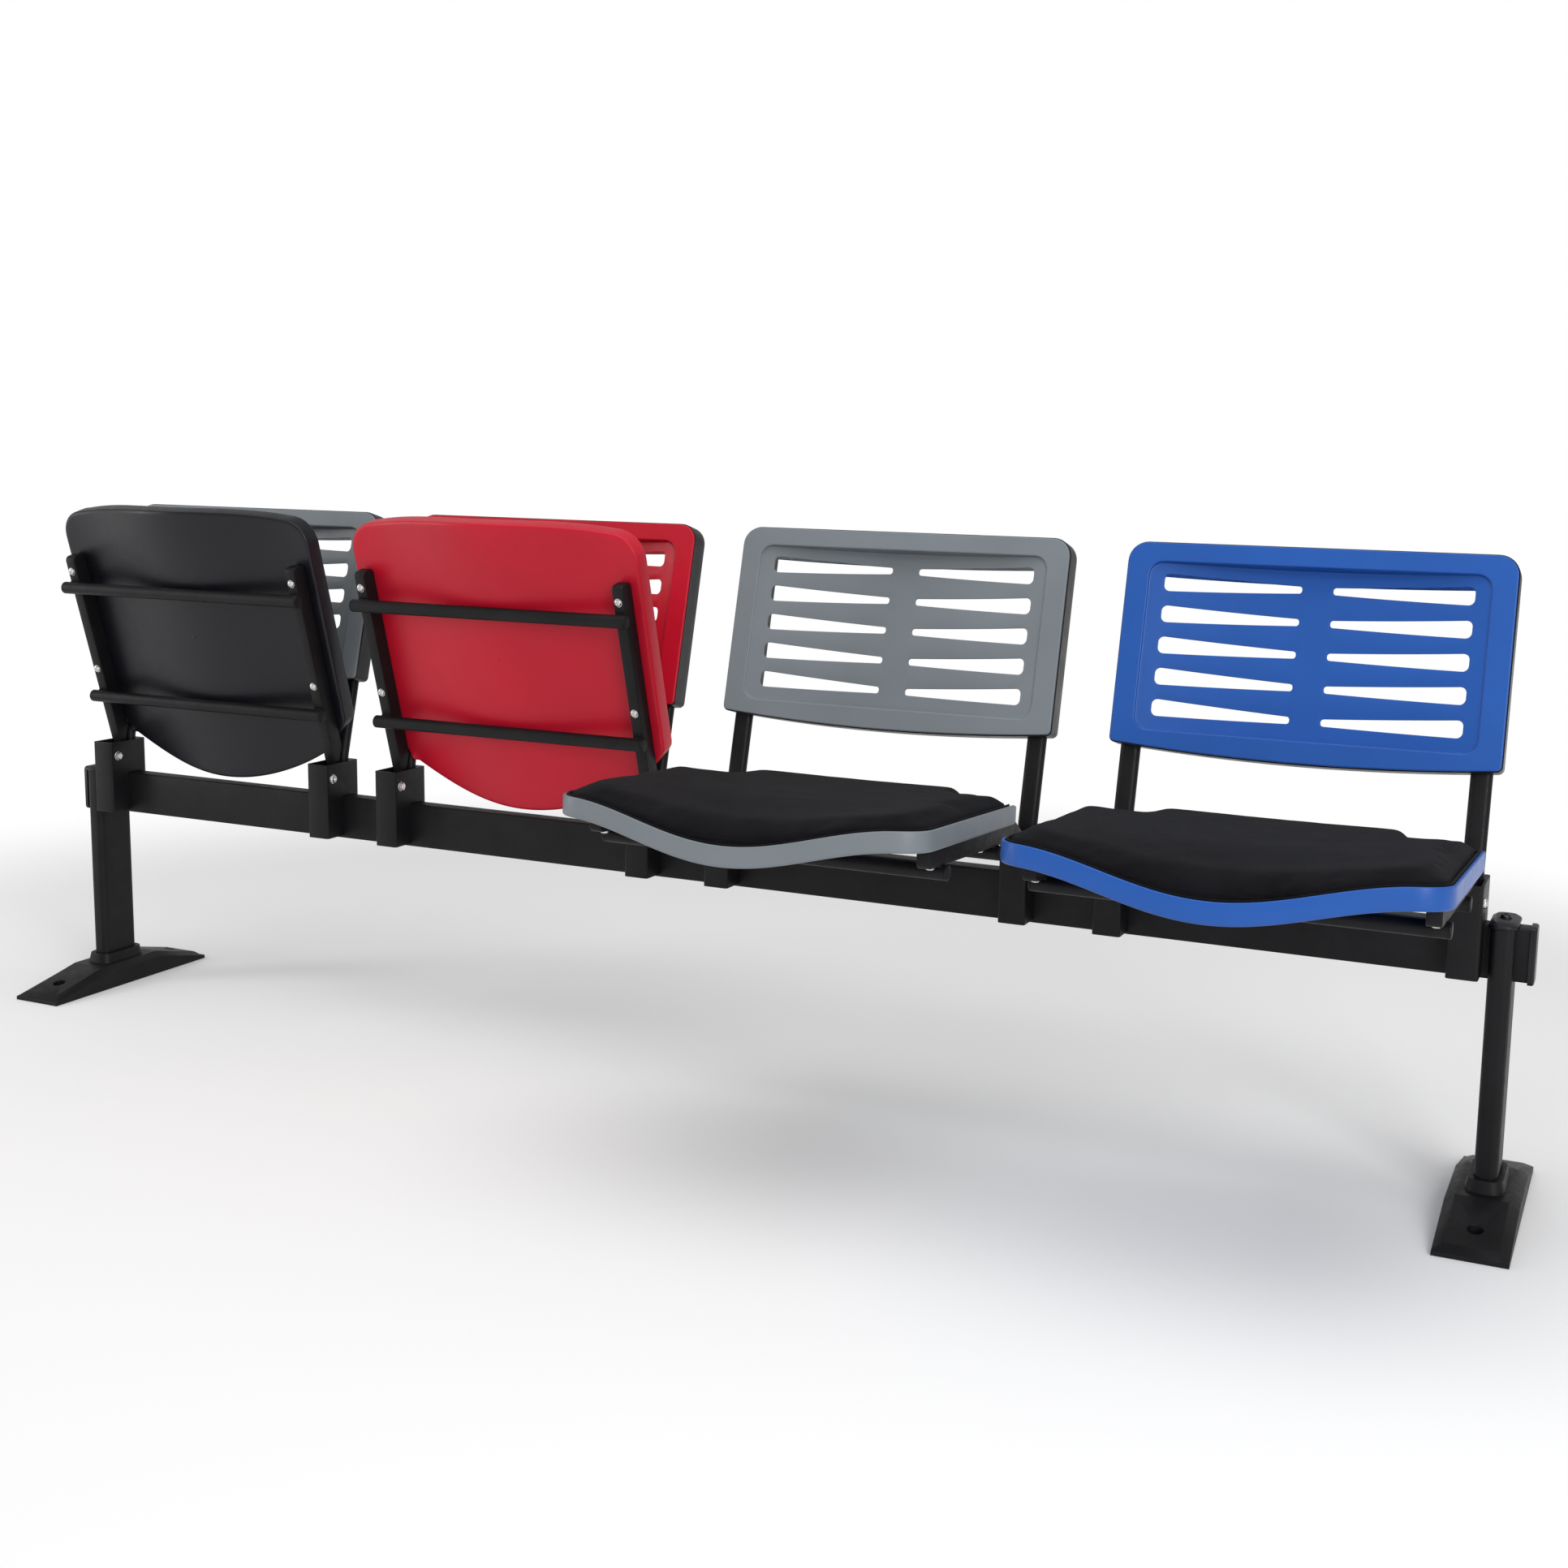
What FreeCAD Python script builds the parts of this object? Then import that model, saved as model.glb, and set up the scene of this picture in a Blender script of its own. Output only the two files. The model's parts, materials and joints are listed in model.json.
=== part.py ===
import math
import os

import FreeCAD
import Part

# Every length is in millimetres. X runs along the beam, Y runs from front to back, Z is up.
# The parts are built with Y = 0 on the front face of the beam and the floor at Z = 0.

seat_count = 4
seat_pitch = 600.0
seat_middles = [(place - (seat_count - 1) / 2) * seat_pitch for place in range(seat_count)]

# Beam, a rectangular tube on edge. It runs a little past the outermost seats.
beam_overhang = 8.0
beam_half_length = seat_count * seat_pitch / 2 + beam_overhang
beam_depth = 30.0
beam_bottom = 311.0
beam_top = 381.0
beam_wall = 2.5
beam_corner = 3.0
beam_cap_length = 8.0
beam_cap_proud = 3.0
beam_cap_corner = 6.0
beam_cap_chamfer = 2.0
beam_plug_length = 14.0
beam_plug_wall = 2.0

# Posts, feet and their caps.
post_inset = 32.0
post_middle_x = beam_half_length - post_inset
post_middle_y = 15.0
post_width = 30.0
post_depth = 74.0
post_corner = 11.0
post_wall = 2.5
post_bottom = 10.0
post_top = 382.0
post_cap_width = 36.0
post_cap_depth = 78.0
post_cap_height = 8.0
post_cap_corner = 13.0
post_cap_top_corner = 8.0
post_cap_slope_x = 6.0
post_cap_slope_y = 8.0
slot_clearance = 0.4
hole_clearance = 0.2
plate_clearance = 0.1
bridge_thickness = 8.0
anchor_thickness = 10.0
post_bolt_radius = 4.0
post_bolt_head_radius = 7.0
post_bolt_head_height = 5.0
foot_bolt_radius = 5.0
foot_bolt_head_radius = 8.0
foot_bolt_head_low = 1.0
foot_bolt_head_high = 5.5

foot_width = 92.0
foot_front = -166.0
foot_rear = 186.0
foot_tip_height = 6.0
foot_bevel = 13.0
foot_bevel_rise = 8.0
foot_crown = 38.0
foot_flat_half = 62.0
foot_wall = 6.0
foot_core_wall = 7.0
foot_core_corner = 12.0
collar_width = 44.0
collar_depth = 88.0
collar_top = 54.0
collar_flare = 5.0
collar_low_corner = 18.0
collar_high_corner = 15.0
collar_root = 6.0
floor_bolt_reach = 130.0
floor_bolt_hole = 5.5
floor_bolt_recess = 10.0
floor_bolt_boss_wall = 4.0
floor_bolt_seat = 10.0

# Clamps that straddle the beam, two to a seat.
clamp_offset = 232.0
clamp_width = 40.0
clamp_front = -40.0
clamp_rear = 40.0
clamp_bottom = 316.0
clamp_top = 438.0
clamp_corner = 4.0
clamp_wall = 3.7
clamp_floor = 385.0
hinge_bay_floor = 400.0
hinge_bay_rear = 8.5
clamp_bolt_radius = 4.0
clamp_bolt_level = 346.0
clamp_bolt_flats = 13.0
clamp_bolt_head_height = 5.3
clamp_bolt_thread_start = 8.0
clamp_boss_radius = 9.0

# Uprights, flat-oval tubes bent back above the clamps.
upright_width = 28.0
upright_thick = 16.0
upright_wall = 2.0
upright_y = 20.0
upright_bend_level = 436.0
upright_bend_radius = 60.0
upright_top_gap = 14.0
back_tilt = 14.4

# Backrests. In their own frame X is across, Y is behind the front plane, Z is up the slope.
back_y = 28.0
back_z = 575.0
back_half_width = 257.0
back_height = 278.0
back_bow = 12.0
back_top_corner = 26.0
back_low_corner = 5.0
panel_thick = 4.0
field_half_width = 224.0
field_low = 20.0
field_high = 250.0
field_corner = 18.0
field_step = 4.0
field_depth = 30.0
field_skin = 3.0
panel_edge_chamfer = 1.0
slot_rows = 5
slot_outer_x = 206.0
slot_inner_x = 20.0
slot_outer_height = 24.0
slot_inner_height = 5.0
slot_first_outer = 50.5
slot_outer_pitch = 43.4
slot_first_inner = 48.0
slot_inner_pitch = 44.5
rear_depth = 38.0
rear_wall = 2.8
rear_overhang = 1.5
rear_edge_chamfer = 3.5
bowl_clearance = 0.8
gate_clearance = 0.5
window_half_width = 213.0
window_low = 14.5
window_high = 255.5
screw_rows = [62.0, 216.0]
screw_radius = 2.0
screw_thread_radius = 1.6
screw_head_radius = 4.0
screw_head_height = 2.2
boss_radius = 4.5

# Seats. In their own frame the hinge axis is the origin, -Y is forward and Z is up.
pivot_y = -25.0
pivot_z = 414.0
open_angle = 3.6
tipped_angle = 74.6
rest_angles = [tipped_angle, tipped_angle, open_angle, open_angle]
padded_seats = [3, 4]
pin_radius = 4.0
pin_head_radius = 7.5
pin_head_height = 4.5
pin_head_chamfer = 1.5
pin_nut_flats = 13.0
pin_nut_height = 5.0
running_clearance = 0.08
eye_radius = 10.0
eye_side_gap = 0.5
neck_front = 9.5
rail_width = 18.0
rail_low = 23.5
rail_high = 50.4
rail_reach = 352.0
rail_sheet = 2.0
rail_rear_level = 29.0
rail_end_corner = 4.0
channel_start = 52.0
tube_radius = 10.0
tube_wall = 2.0
tube_level = 14.0
tube_overhang = 6.0
tube_half_length = clamp_offset + rail_width / 2 + tube_overhang
tube_end_chamfer = 2.0
tube_plug = 6.0
tube_vent_inset = 32.0
tube_vent_radius = 2.5
tube_reaches = [105.0, 301.0]
seat_bolt_reaches = [152.0, 327.0]
seat_bolt_radius = 3.0
seat_bolt_top = 54.4
seat_bolt_head_radius = 6.5
seat_bolt_head_height = 4.0
seat_bolt_head_chamfer = 1.4

shell_half_width = 257.0
shell_front = 442.0
shell_front_side = 423.5
shell_front_corner = 44.0
shell_side_rear = 80.0
shell_corner_x = 212.0
shell_corner_reach = 27.0
shell_rear = -33.0
shell_wall = 4.0
shell_band = 27.0
shell_edge_level = 51.0
shell_belly_level = 27.0
shell_lip_level = 13.0
lip_start = 260.0
belly_half_width = 240.0
board_thick = 4.0
saddle_columns = [-270.0 + 22.5 * step for step in range(25)]
pad_columns = [-270.0, -253.0, -247.0, -236.0, -222.0, -204.0, -175.0, -130.0, -90.0, -45.0, 0.0,
               45.0, 90.0, 130.0, 175.0, 204.0, 222.0, 236.0, 247.0, 253.0, 270.0]
saddle_rear = -60.0
fine_stations = [260.0, 298.0, 332.0, 366.0, 402.0, 460.0]
hidden_stations = [-60.0, 260.0, 320.0, 385.0, 460.0]
hidden_columns = [-270.0, -230.0, -195.0, -160.0, -125.0, -85.0, -45.0, 0.0,
                  45.0, 85.0, 125.0, 160.0, 195.0, 230.0, 270.0]
pad_stations = [260.0, 310.0, 360.0, 395.0, 418.0, 435.0, 460.0]
pad_rear_stations = [-60.0, -22.0, 10.0, 60.0, 145.0]
nest_gap = 0.3
board_corner_cut = 10.0
board_inset = 2.0
top_panel_thick = 3.0
top_panel_below_rim = 2.0
pad_corner_cut = 34.0
pad_crown_middle = 25.0
pad_crown_side = 15.0
pad_crown_half_width = 190.0
pad_edge_rise = 1.0
pad_edge_fade = 48.0
upright_margin = 3.0

# What repeats is made with few flat sides: bolts, their holes, and rounded corners.
rod_sides = 6
head_sides = 10
tube_sides = 12
corner_facets = 3


def flats_between(start, mid, end, facets):
    """Pairs of points along the arc through three points."""
    arc = Part.Arc(start, mid, end)
    low = arc.FirstParameter
    step = (arc.LastParameter - low) / facets
    points = [start]
    points += [arc.value(low + step * index) for index in range(1, facets)]
    points.append(end)
    return list(zip(points, points[1:]))


def wire_from(corners, radii, place, facets=0):
    """Closed loop of straight sides with rounded corners; place maps (u, v) to space.

    With facets, each corner is that many short flats in place of an arc.
    """
    count = len(corners)
    starts = []
    mids = []
    ends = []
    for index in range(count):
        corner = FreeCAD.Vector(corners[index][0], corners[index][1], 0)
        before = FreeCAD.Vector(*corners[index - 1], 0) - corner
        after = FreeCAD.Vector(*corners[(index + 1) % count], 0) - corner
        radius = radii[index]
        if radius <= 0:
            starts.append(corner)
            mids.append(None)
            ends.append(corner)
            continue
        half = before.getAngle(after) / 2
        before.normalize()
        after.normalize()
        reach = radius / math.tan(half)
        inward = before + after
        inward.normalize()
        starts.append(corner + before * reach)
        mids.append(corner + inward * (radius / math.sin(half) - radius))
        ends.append(corner + after * reach)
    edges = []
    for index in range(count):
        if mids[index] is not None and facets:
            for first, second in flats_between(starts[index], mids[index], ends[index], facets):
                edges.append(Part.makeLine(place(first.x, first.y), place(second.x, second.y)))
        elif mids[index] is not None:
            points = [place(point.x, point.y) for point in (starts[index], mids[index], ends[index])]
            edges.append(Part.Arc(*points).toShape())
        first = ends[index]
        second = starts[(index + 1) % count]
        if first.distanceToPoint(second) > 1e-6:
            edges.append(Part.makeLine(place(first.x, first.y), place(second.x, second.y)))
    return Part.Wire(edges)


def flat(level):
    return lambda u, v: FreeCAD.Vector(u, v, level)


def upright_plane(depth):
    return lambda u, v: FreeCAD.Vector(u, depth, v)


def side_plane(x):
    return lambda u, v: FreeCAD.Vector(x, -u, v)


def rectangle(half_u, half_v, middle_u=0.0, middle_v=0.0):
    return [
        (middle_u - half_u, middle_v - half_v),
        (middle_u + half_u, middle_v - half_v),
        (middle_u + half_u, middle_v + half_v),
        (middle_u - half_u, middle_v + half_v),
    ]


def stacked(loops):
    """Solid through loops of equally many points, with flat sides."""
    faces = []
    for low, high in zip(loops, loops[1:]):
        for index in range(len(low)):
            following = (index + 1) % len(low)
            corners = [low[index], low[following], high[following], high[index]]
            faces += flat_faces(corners)
    faces += flat_faces(loops[0]) + flat_faces(loops[-1])
    return Part.makeSolid(Part.makeShell(faces))


def flat_faces(corners):
    """One face through the corners where they lie in a plane, or else two triangles."""
    kept = [point for index, point in enumerate(corners)
            if point.distanceToPoint(corners[index - 1]) > 1e-6]
    if len(kept) < 3:
        return []
    normal = (kept[1] - kept[0]).cross(kept[2] - kept[0])
    normal.normalize()
    if len(kept) != 4 or abs((kept[3] - kept[0]).dot(normal)) < 1e-5:
        return [Part.Face(Part.makePolygon(kept + kept[:1]))]
    halves = [[kept[0], kept[1], kept[2]], [kept[0], kept[2], kept[3]]]
    return [Part.Face(Part.makePolygon(half + half[:1])) for half in halves]


def loop_points(corners, radius, level, facets=corner_facets):
    """Points of a faceted rounded loop at one level."""
    loop = wire_from(corners, [radius] * len(corners), flat(level), facets)
    return [vertex.Point for vertex in loop.OrderedVertexes]


def prism(corners, radii, place, direction, facets=0):
    if not isinstance(radii, list):
        radii = [radii] * len(corners)
    loop = wire_from(corners, radii, place, facets)
    return Part.Face(loop).extrude(FreeCAD.Vector(*direction))


def block(x_low, x_high, y_low, y_high, z_low, z_high):
    corner = FreeCAD.Vector(x_low, y_low, z_low)
    return Part.makeBox(x_high - x_low, y_high - y_low, z_high - z_low, corner)


def rod(radius, start, end):
    start = FreeCAD.Vector(*start)
    along = FreeCAD.Vector(*end) - start
    return Part.makeCylinder(radius, along.Length, start, along)


def flat_rod(radius, start, end, sides=rod_sides):
    """Rod with flat sides. The radius is measured to the flats, so a wider one clears evenly."""
    start = FreeCAD.Vector(*start)
    along = FreeCAD.Vector(*end) - start
    side = along.cross(FreeCAD.Vector(1, 0, 0))
    if side.Length < 1e-6:
        side = along.cross(FreeCAD.Vector(0, 1, 0))
    side.normalize()
    side = FreeCAD.Rotation(along, 180 / sides).multVec(side)
    side = side * (radius / math.cos(math.pi / sides))
    turn = FreeCAD.Rotation(along, 360 / sides)
    points = [start + side]
    for step in range(sides - 1):
        side = turn.multVec(side)
        points.append(start + side)
    points.append(points[0])
    return Part.Face(Part.makePolygon(points)).extrude(along)


def bolt_head(radius, start, end, chamfer):
    """Head from start to end, with its outer rim chamfered."""
    head = flat_rod(radius, start, end, head_sides)
    tip = FreeCAD.Vector(*end)
    along = tip - FreeCAD.Vector(*start)
    rim = [edge for edge in head.Edges
           if all(abs((vertex.Point - tip).dot(along)) < 1e-3 for vertex in edge.Vertexes)]
    return head.makeChamfer(chamfer, rim)


def mirrored(shape):
    return shape.mirror(FreeCAD.Vector(0, 0, 0), FreeCAD.Vector(1, 0, 0))


# Beam and its end caps.

def make_beam():
    middle = (beam_depth / 2, (beam_top + beam_bottom) / 2)
    half_depth = beam_depth / 2
    half_height = (beam_top - beam_bottom) / 2

    def place(u, v):
        return FreeCAD.Vector(-beam_half_length, u, v)

    length = (2 * beam_half_length, 0, 0)
    outer = prism(rectangle(half_depth, half_height, *middle), beam_corner, place, length,
                  corner_facets)
    inside = rectangle(half_depth - beam_wall, half_height - beam_wall, *middle)
    beam = outer.cut(prism(inside, 0.0, place, length))
    for side in (-1, 1):
        x = side * post_middle_x
        beam = beam.cut(flat_rod(post_bolt_radius + hole_clearance, (x, post_middle_y, beam_bottom - 1),
                                 (x, post_middle_y, beam_top + 1)))
    for middle_x in seat_middles:
        for side in (-1, 1):
            x = middle_x + side * clamp_offset
            beam = beam.cut(flat_rod(clamp_bolt_radius + hole_clearance, (x, -1, clamp_bolt_level),
                                     (x, beam_depth + 1, clamp_bolt_level)))
    return beam


def make_beam_cap():
    middle = (beam_depth / 2, (beam_top + beam_bottom) / 2)
    half_depth = beam_depth / 2 + beam_cap_proud
    half_height = (beam_top - beam_bottom) / 2 + beam_cap_proud

    def place(u, v):
        return FreeCAD.Vector(beam_half_length, u, v)

    cap = prism(rectangle(half_depth, half_height, *middle), beam_cap_corner, place,
                (beam_cap_length, 0, 0), corner_facets)
    outer_x = beam_half_length + beam_cap_length
    rim = [edge for edge in cap.Edges if min(v.X for v in edge.Vertexes) > outer_x - 0.1]
    cap = cap.makeChamfer(beam_cap_chamfer, rim)
    plug_half_depth = beam_depth / 2 - beam_wall - hole_clearance
    plug_half_height = (beam_top - beam_bottom) / 2 - beam_wall - hole_clearance
    plug = prism(rectangle(plug_half_depth, plug_half_height, *middle), 0.0, place,
                 (-beam_plug_length, 0, 0))
    inside = rectangle(plug_half_depth - beam_plug_wall, plug_half_height - beam_plug_wall, *middle)
    hollow = prism(inside, 0.0, place, (-beam_plug_length - 1, 0, 0))
    return cap.fuse(plug.cut(hollow)).removeSplitter()


# Legs. Each function makes the right-hand one.

def make_post():
    middle = (post_middle_x, post_middle_y)
    height = (0, 0, post_top - post_bottom)
    post = prism(rectangle(post_width / 2, post_depth / 2, *middle), post_corner,
                 flat(post_bottom), height)
    bore = prism(rectangle(post_width / 2 - post_wall, post_depth / 2 - post_wall, *middle),
                 post_corner - post_wall, flat(post_bottom), height, corner_facets)
    post = post.cut(bore)
    saddle = block(post_middle_x - post_width, post_middle_x + post_width,
                   -slot_clearance, beam_depth + slot_clearance, beam_bottom, post_top + 1)
    return post.cut(saddle)


def make_post_cap():
    middle = (post_middle_x, post_middle_y)
    outline = rectangle(post_cap_width / 2, post_cap_depth / 2, *middle)
    crest = rectangle(post_cap_width / 2 - post_cap_slope_x, post_cap_depth / 2 - post_cap_slope_y,
                      *middle)
    cap = stacked([
        loop_points(outline, post_cap_corner, post_top),
        loop_points(outline, post_cap_corner, post_top + post_cap_height / 2),
        loop_points(crest, post_cap_top_corner, post_top + post_cap_height),
    ])
    lower = (post_middle_x, post_middle_y, post_top - 1)
    upper = (post_middle_x, post_middle_y, post_top + post_cap_height + 1)
    return cap.cut(flat_rod(post_bolt_radius + hole_clearance, lower, upper))


def make_post_bolt():
    top = post_top + post_cap_height
    head = bolt_head(post_bolt_head_radius, (post_middle_x, post_middle_y, top),
                     (post_middle_x, post_middle_y, top + post_bolt_head_height), pin_head_chamfer)
    shank = flat_rod(post_bolt_radius, (post_middle_x, post_middle_y, beam_bottom - bridge_thickness),
                     (post_middle_x, post_middle_y, top))
    return head.fuse(shank)


def plate_in_post(low, thickness, bolt_radius):
    """Threaded plate that fills the post's bore."""
    loop = rectangle(post_width / 2 - post_wall - plate_clearance,
                     post_depth / 2 - post_wall - plate_clearance, post_middle_x, post_middle_y)
    plate = prism(loop, post_corner - post_wall, flat(low), (0, 0, thickness), corner_facets)
    return plate.cut(flat_rod(bolt_radius, (post_middle_x, post_middle_y, low - 1),
                              (post_middle_x, post_middle_y, low + thickness + 1)))


def make_foot_bolt():
    head = flat_rod(foot_bolt_head_radius, (post_middle_x, post_middle_y, foot_bolt_head_low),
                    (post_middle_x, post_middle_y, foot_bolt_head_high))
    shank = flat_rod(foot_bolt_radius, (post_middle_x, post_middle_y, foot_bolt_head_high),
                     (post_middle_x, post_middle_y, post_bottom + anchor_thickness))
    return head.fuse(shank)


def foot_section(y, low_shoulder, top, half_width, base=0.0):
    """Six corners of the foot's section at one place along it."""
    inner = half_width - foot_bevel
    points = [(-half_width, base), (-half_width, low_shoulder), (-inner, top),
              (inner, top), (half_width, low_shoulder), (half_width, base)]
    return [FreeCAD.Vector(post_middle_x + u, y, v) for u, v in points]


def foot_body(shrink):
    """Foot hull; shrink draws every face in to leave the wall of the casting."""
    half_width = foot_width / 2 - shrink
    low_front = foot_front + shrink
    low_rear = foot_rear - shrink
    flat_front = post_middle_y - foot_flat_half
    flat_rear = post_middle_y + foot_flat_half
    tip = foot_tip_height - shrink * 0.5
    rows = [
        (low_front, tip, tip + 0.01),
        (low_front + foot_bevel, tip + 2, tip + foot_bevel_rise),
        (flat_front, foot_crown - foot_bevel_rise - shrink, foot_crown - shrink),
        (flat_rear, foot_crown - foot_bevel_rise - shrink, foot_crown - shrink),
        (low_rear - foot_bevel, tip + 2, tip + foot_bevel_rise),
        (low_rear, tip, tip + 0.01),
    ]
    base = -1.0 if shrink else 0.0
    return stacked([foot_section(*row, half_width, base) for row in rows])


def make_foot():
    middle = (post_middle_x, post_middle_y)
    low_loop = rectangle(collar_width / 2 + collar_flare, collar_depth / 2 + collar_flare, *middle)
    high_loop = rectangle(collar_width / 2, collar_depth / 2, *middle)
    collar = stacked([loop_points(low_loop, collar_low_corner, foot_crown - collar_root),
                      loop_points(high_loop, collar_high_corner, collar_top)])
    outside = foot_body(0.0)
    foot = outside.cut(foot_body(foot_wall))
    core = prism(rectangle(post_width / 2 + foot_core_wall, post_depth / 2 + foot_core_wall, *middle),
                 foot_core_corner, flat(0), (0, 0, foot_crown - 2), corner_facets)
    bosses = []
    for y in (post_middle_y - floor_bolt_reach, post_middle_y + floor_bolt_reach):
        boss = flat_rod(floor_bolt_recess + floor_bolt_boss_wall, (post_middle_x, y, 0),
                        (post_middle_x, y, foot_crown))
        bosses.append(boss.common(outside))
    foot = foot.fuse([core.common(outside), collar] + bosses)
    socket = prism(rectangle(post_width / 2 + hole_clearance, post_depth / 2 + hole_clearance, *middle),
                   post_corner + hole_clearance, flat(post_bottom), (0, 0, collar_top))
    foot = foot.cut(socket)
    foot = foot.cut(flat_rod(foot_bolt_radius + slot_clearance, (*middle, -1), (*middle, 30)))
    foot = foot.cut(flat_rod(foot_bolt_head_radius + slot_clearance, (*middle, -1),
                             (*middle, foot_bolt_head_high)))
    for y in (post_middle_y - floor_bolt_reach, post_middle_y + floor_bolt_reach):
        foot = foot.cut(rod(floor_bolt_hole, (post_middle_x, y, -1), (post_middle_x, y, collar_top)))
        foot = foot.cut(rod(floor_bolt_recess, (post_middle_x, y, floor_bolt_seat),
                            (post_middle_x, y, collar_top)))
    return foot.removeSplitter()


# Clamps, their bolts and the hinge pins. Each is made about x = 0.

def oval(half_width, half_thick, middle_y, level, facets=corner_facets):
    corners = rectangle(half_width, half_thick, 0.0, middle_y)
    return wire_from(corners, [half_thick] * 4, flat(level), facets)


def make_clamp():
    half_width = clamp_width / 2
    middle_y = (clamp_front + clamp_rear) / 2
    height = (0, 0, clamp_top - clamp_bottom)
    body = prism(rectangle(half_width, (clamp_rear - clamp_front) / 2, 0, middle_y), clamp_corner,
                 flat(clamp_bottom), height, corner_facets)
    beam_slot = block(-half_width - 1, half_width + 1, -slot_clearance, beam_depth + slot_clearance,
                      clamp_bottom - 1, beam_top + slot_clearance)
    body = body.cut(beam_slot)
    inner_half = half_width - clamp_wall
    bay = block(-inner_half, inner_half, clamp_front + clamp_wall, hinge_bay_rear,
                hinge_bay_floor, clamp_top + 1)
    body = body.cut(bay)
    lower = block(-inner_half, inner_half, clamp_front + clamp_wall, -clamp_wall,
                  clamp_bottom - 1, hinge_bay_floor - clamp_wall)
    boss = flat_rod(clamp_boss_radius, (0, clamp_front + 1, clamp_bolt_level),
                    (0, -1, clamp_bolt_level))
    body = body.cut(lower.cut(boss))
    socket = Part.Face(oval(upright_width / 2 + hole_clearance, upright_thick / 2 + hole_clearance,
                            upright_y, clamp_floor)).extrude(FreeCAD.Vector(0, 0, 60))
    body = body.cut(socket)
    body = body.cut(flat_rod(clamp_bolt_radius,
                             (0, clamp_front + clamp_bolt_thread_start, clamp_bolt_level),
                             (0, 0, clamp_bolt_level)))
    body = body.cut(flat_rod(clamp_bolt_radius + hole_clearance, (0, 0, clamp_bolt_level),
                             (0, clamp_rear + 1, clamp_bolt_level)))
    body = body.cut(flat_rod(pin_radius + hole_clearance, (-half_width - 1, pivot_y, pivot_z),
                             (half_width + 1, pivot_y, pivot_z)))
    return body


def make_clamp_bolt():
    shank = flat_rod(clamp_bolt_radius,
                     (0, clamp_front + clamp_bolt_thread_start + 2, clamp_bolt_level),
                     (0, clamp_rear, clamp_bolt_level))
    head = flat_rod(clamp_bolt_flats / 2, (0, clamp_rear, clamp_bolt_level),
                    (0, clamp_rear + clamp_bolt_head_height, clamp_bolt_level), 6)
    return shank.fuse(head)


def make_hinge_pin():
    """Pin with its head on the +x side of the clamp and a nut on the other."""
    half_width = clamp_width / 2
    shank = rod(pin_radius, (-half_width - pin_nut_height, pivot_y, pivot_z),
                (half_width, pivot_y, pivot_z))
    head = bolt_head(pin_head_radius, (half_width, pivot_y, pivot_z),
                     (half_width + pin_head_height, pivot_y, pivot_z), pin_head_chamfer)
    nut = flat_rod(pin_nut_flats / 2, (-half_width, pivot_y, pivot_z),
                   (-half_width - pin_nut_height, pivot_y, pivot_z), 6)
    return shank.fuse([head, nut])


# Backrests.

def make_upright():
    tilt = math.radians(back_tilt)
    bend_y = upright_y + upright_bend_radius
    radius = upright_bend_radius
    start = FreeCAD.Vector(0, upright_y, clamp_floor + hole_clearance)
    knee = FreeCAD.Vector(0, upright_y, upright_bend_level)
    middle = FreeCAD.Vector(0, bend_y - radius * math.cos(tilt / 2),
                            upright_bend_level + radius * math.sin(tilt / 2))
    out = FreeCAD.Vector(0, bend_y - radius * math.cos(tilt),
                         upright_bend_level + radius * math.sin(tilt))
    top_level = back_z + (back_height - upright_top_gap) * math.cos(tilt)
    rise = (top_level - out.z) / math.cos(tilt)
    end = out + FreeCAD.Vector(0, math.sin(tilt), math.cos(tilt)) * rise
    path = Part.Wire([Part.makeLine(start, knee), Part.Arc(knee, middle, out).toShape(),
                      Part.makeLine(out, end)])
    outer = oval(upright_width / 2, upright_thick / 2, upright_y, start.z)
    inner = oval(upright_width / 2 - upright_wall, upright_thick / 2 - upright_wall, upright_y,
                 start.z, 1)
    tube = path.makePipeShell([outer], True, False)
    tube = tube.cut(path.makePipeShell([inner], True, False))
    for row in screw_rows:
        hole = flat_rod(screw_radius + hole_clearance, (0, panel_thick, row), (0, rear_depth, row))
        tube = tube.cut(to_back_place(hole, 0.0))
    return tube


def outline_wire(grow, low_grow, depth):
    """The backrest outline as lines, corner arcs and one bowed lower edge."""
    half = back_half_width + grow
    high = back_height + grow
    low = -low_grow
    top = back_top_corner + grow
    foot = back_low_corner
    slant = math.sqrt(0.5)

    def at(u, v):
        return FreeCAD.Vector(u, depth, v)

    edges = [
        Part.makeLine(at(half, low + foot), at(half, high - top)),
        Part.Arc(at(half, high - top), at(half - top + top * slant, high - top + top * slant),
                 at(half - top, high)).toShape(),
        Part.makeLine(at(half - top, high), at(-half + top, high)),
        Part.Arc(at(-half + top, high), at(-half + top - top * slant, high - top + top * slant),
                 at(-half, high - top)).toShape(),
        Part.makeLine(at(-half, high - top), at(-half, low + foot)),
        Part.Arc(at(-half, low + foot),
                 at(-half + foot - foot * slant, low + foot - foot * slant),
                 at(-half + foot, low)).toShape(),
        Part.Arc(at(-half + foot, low), at(0, low - back_bow), at(half - foot, low)).toShape(),
        Part.Arc(at(half - foot, low), at(half - foot + foot * slant, low + foot - foot * slant),
                 at(half, low + foot)).toShape(),
    ]
    return Part.Wire(edges)


def dish(grow):
    """Everything in front of the curved field; grow moves the curve back."""
    sagitta = field_depth - field_step
    radius = (field_half_width ** 2 + sagitta ** 2) / (2 * sagitta)
    axis_y = field_depth - radius
    drum = Part.makeCylinder(radius + grow, back_height + 40, FreeCAD.Vector(0, axis_y, -20))
    return drum


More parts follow.
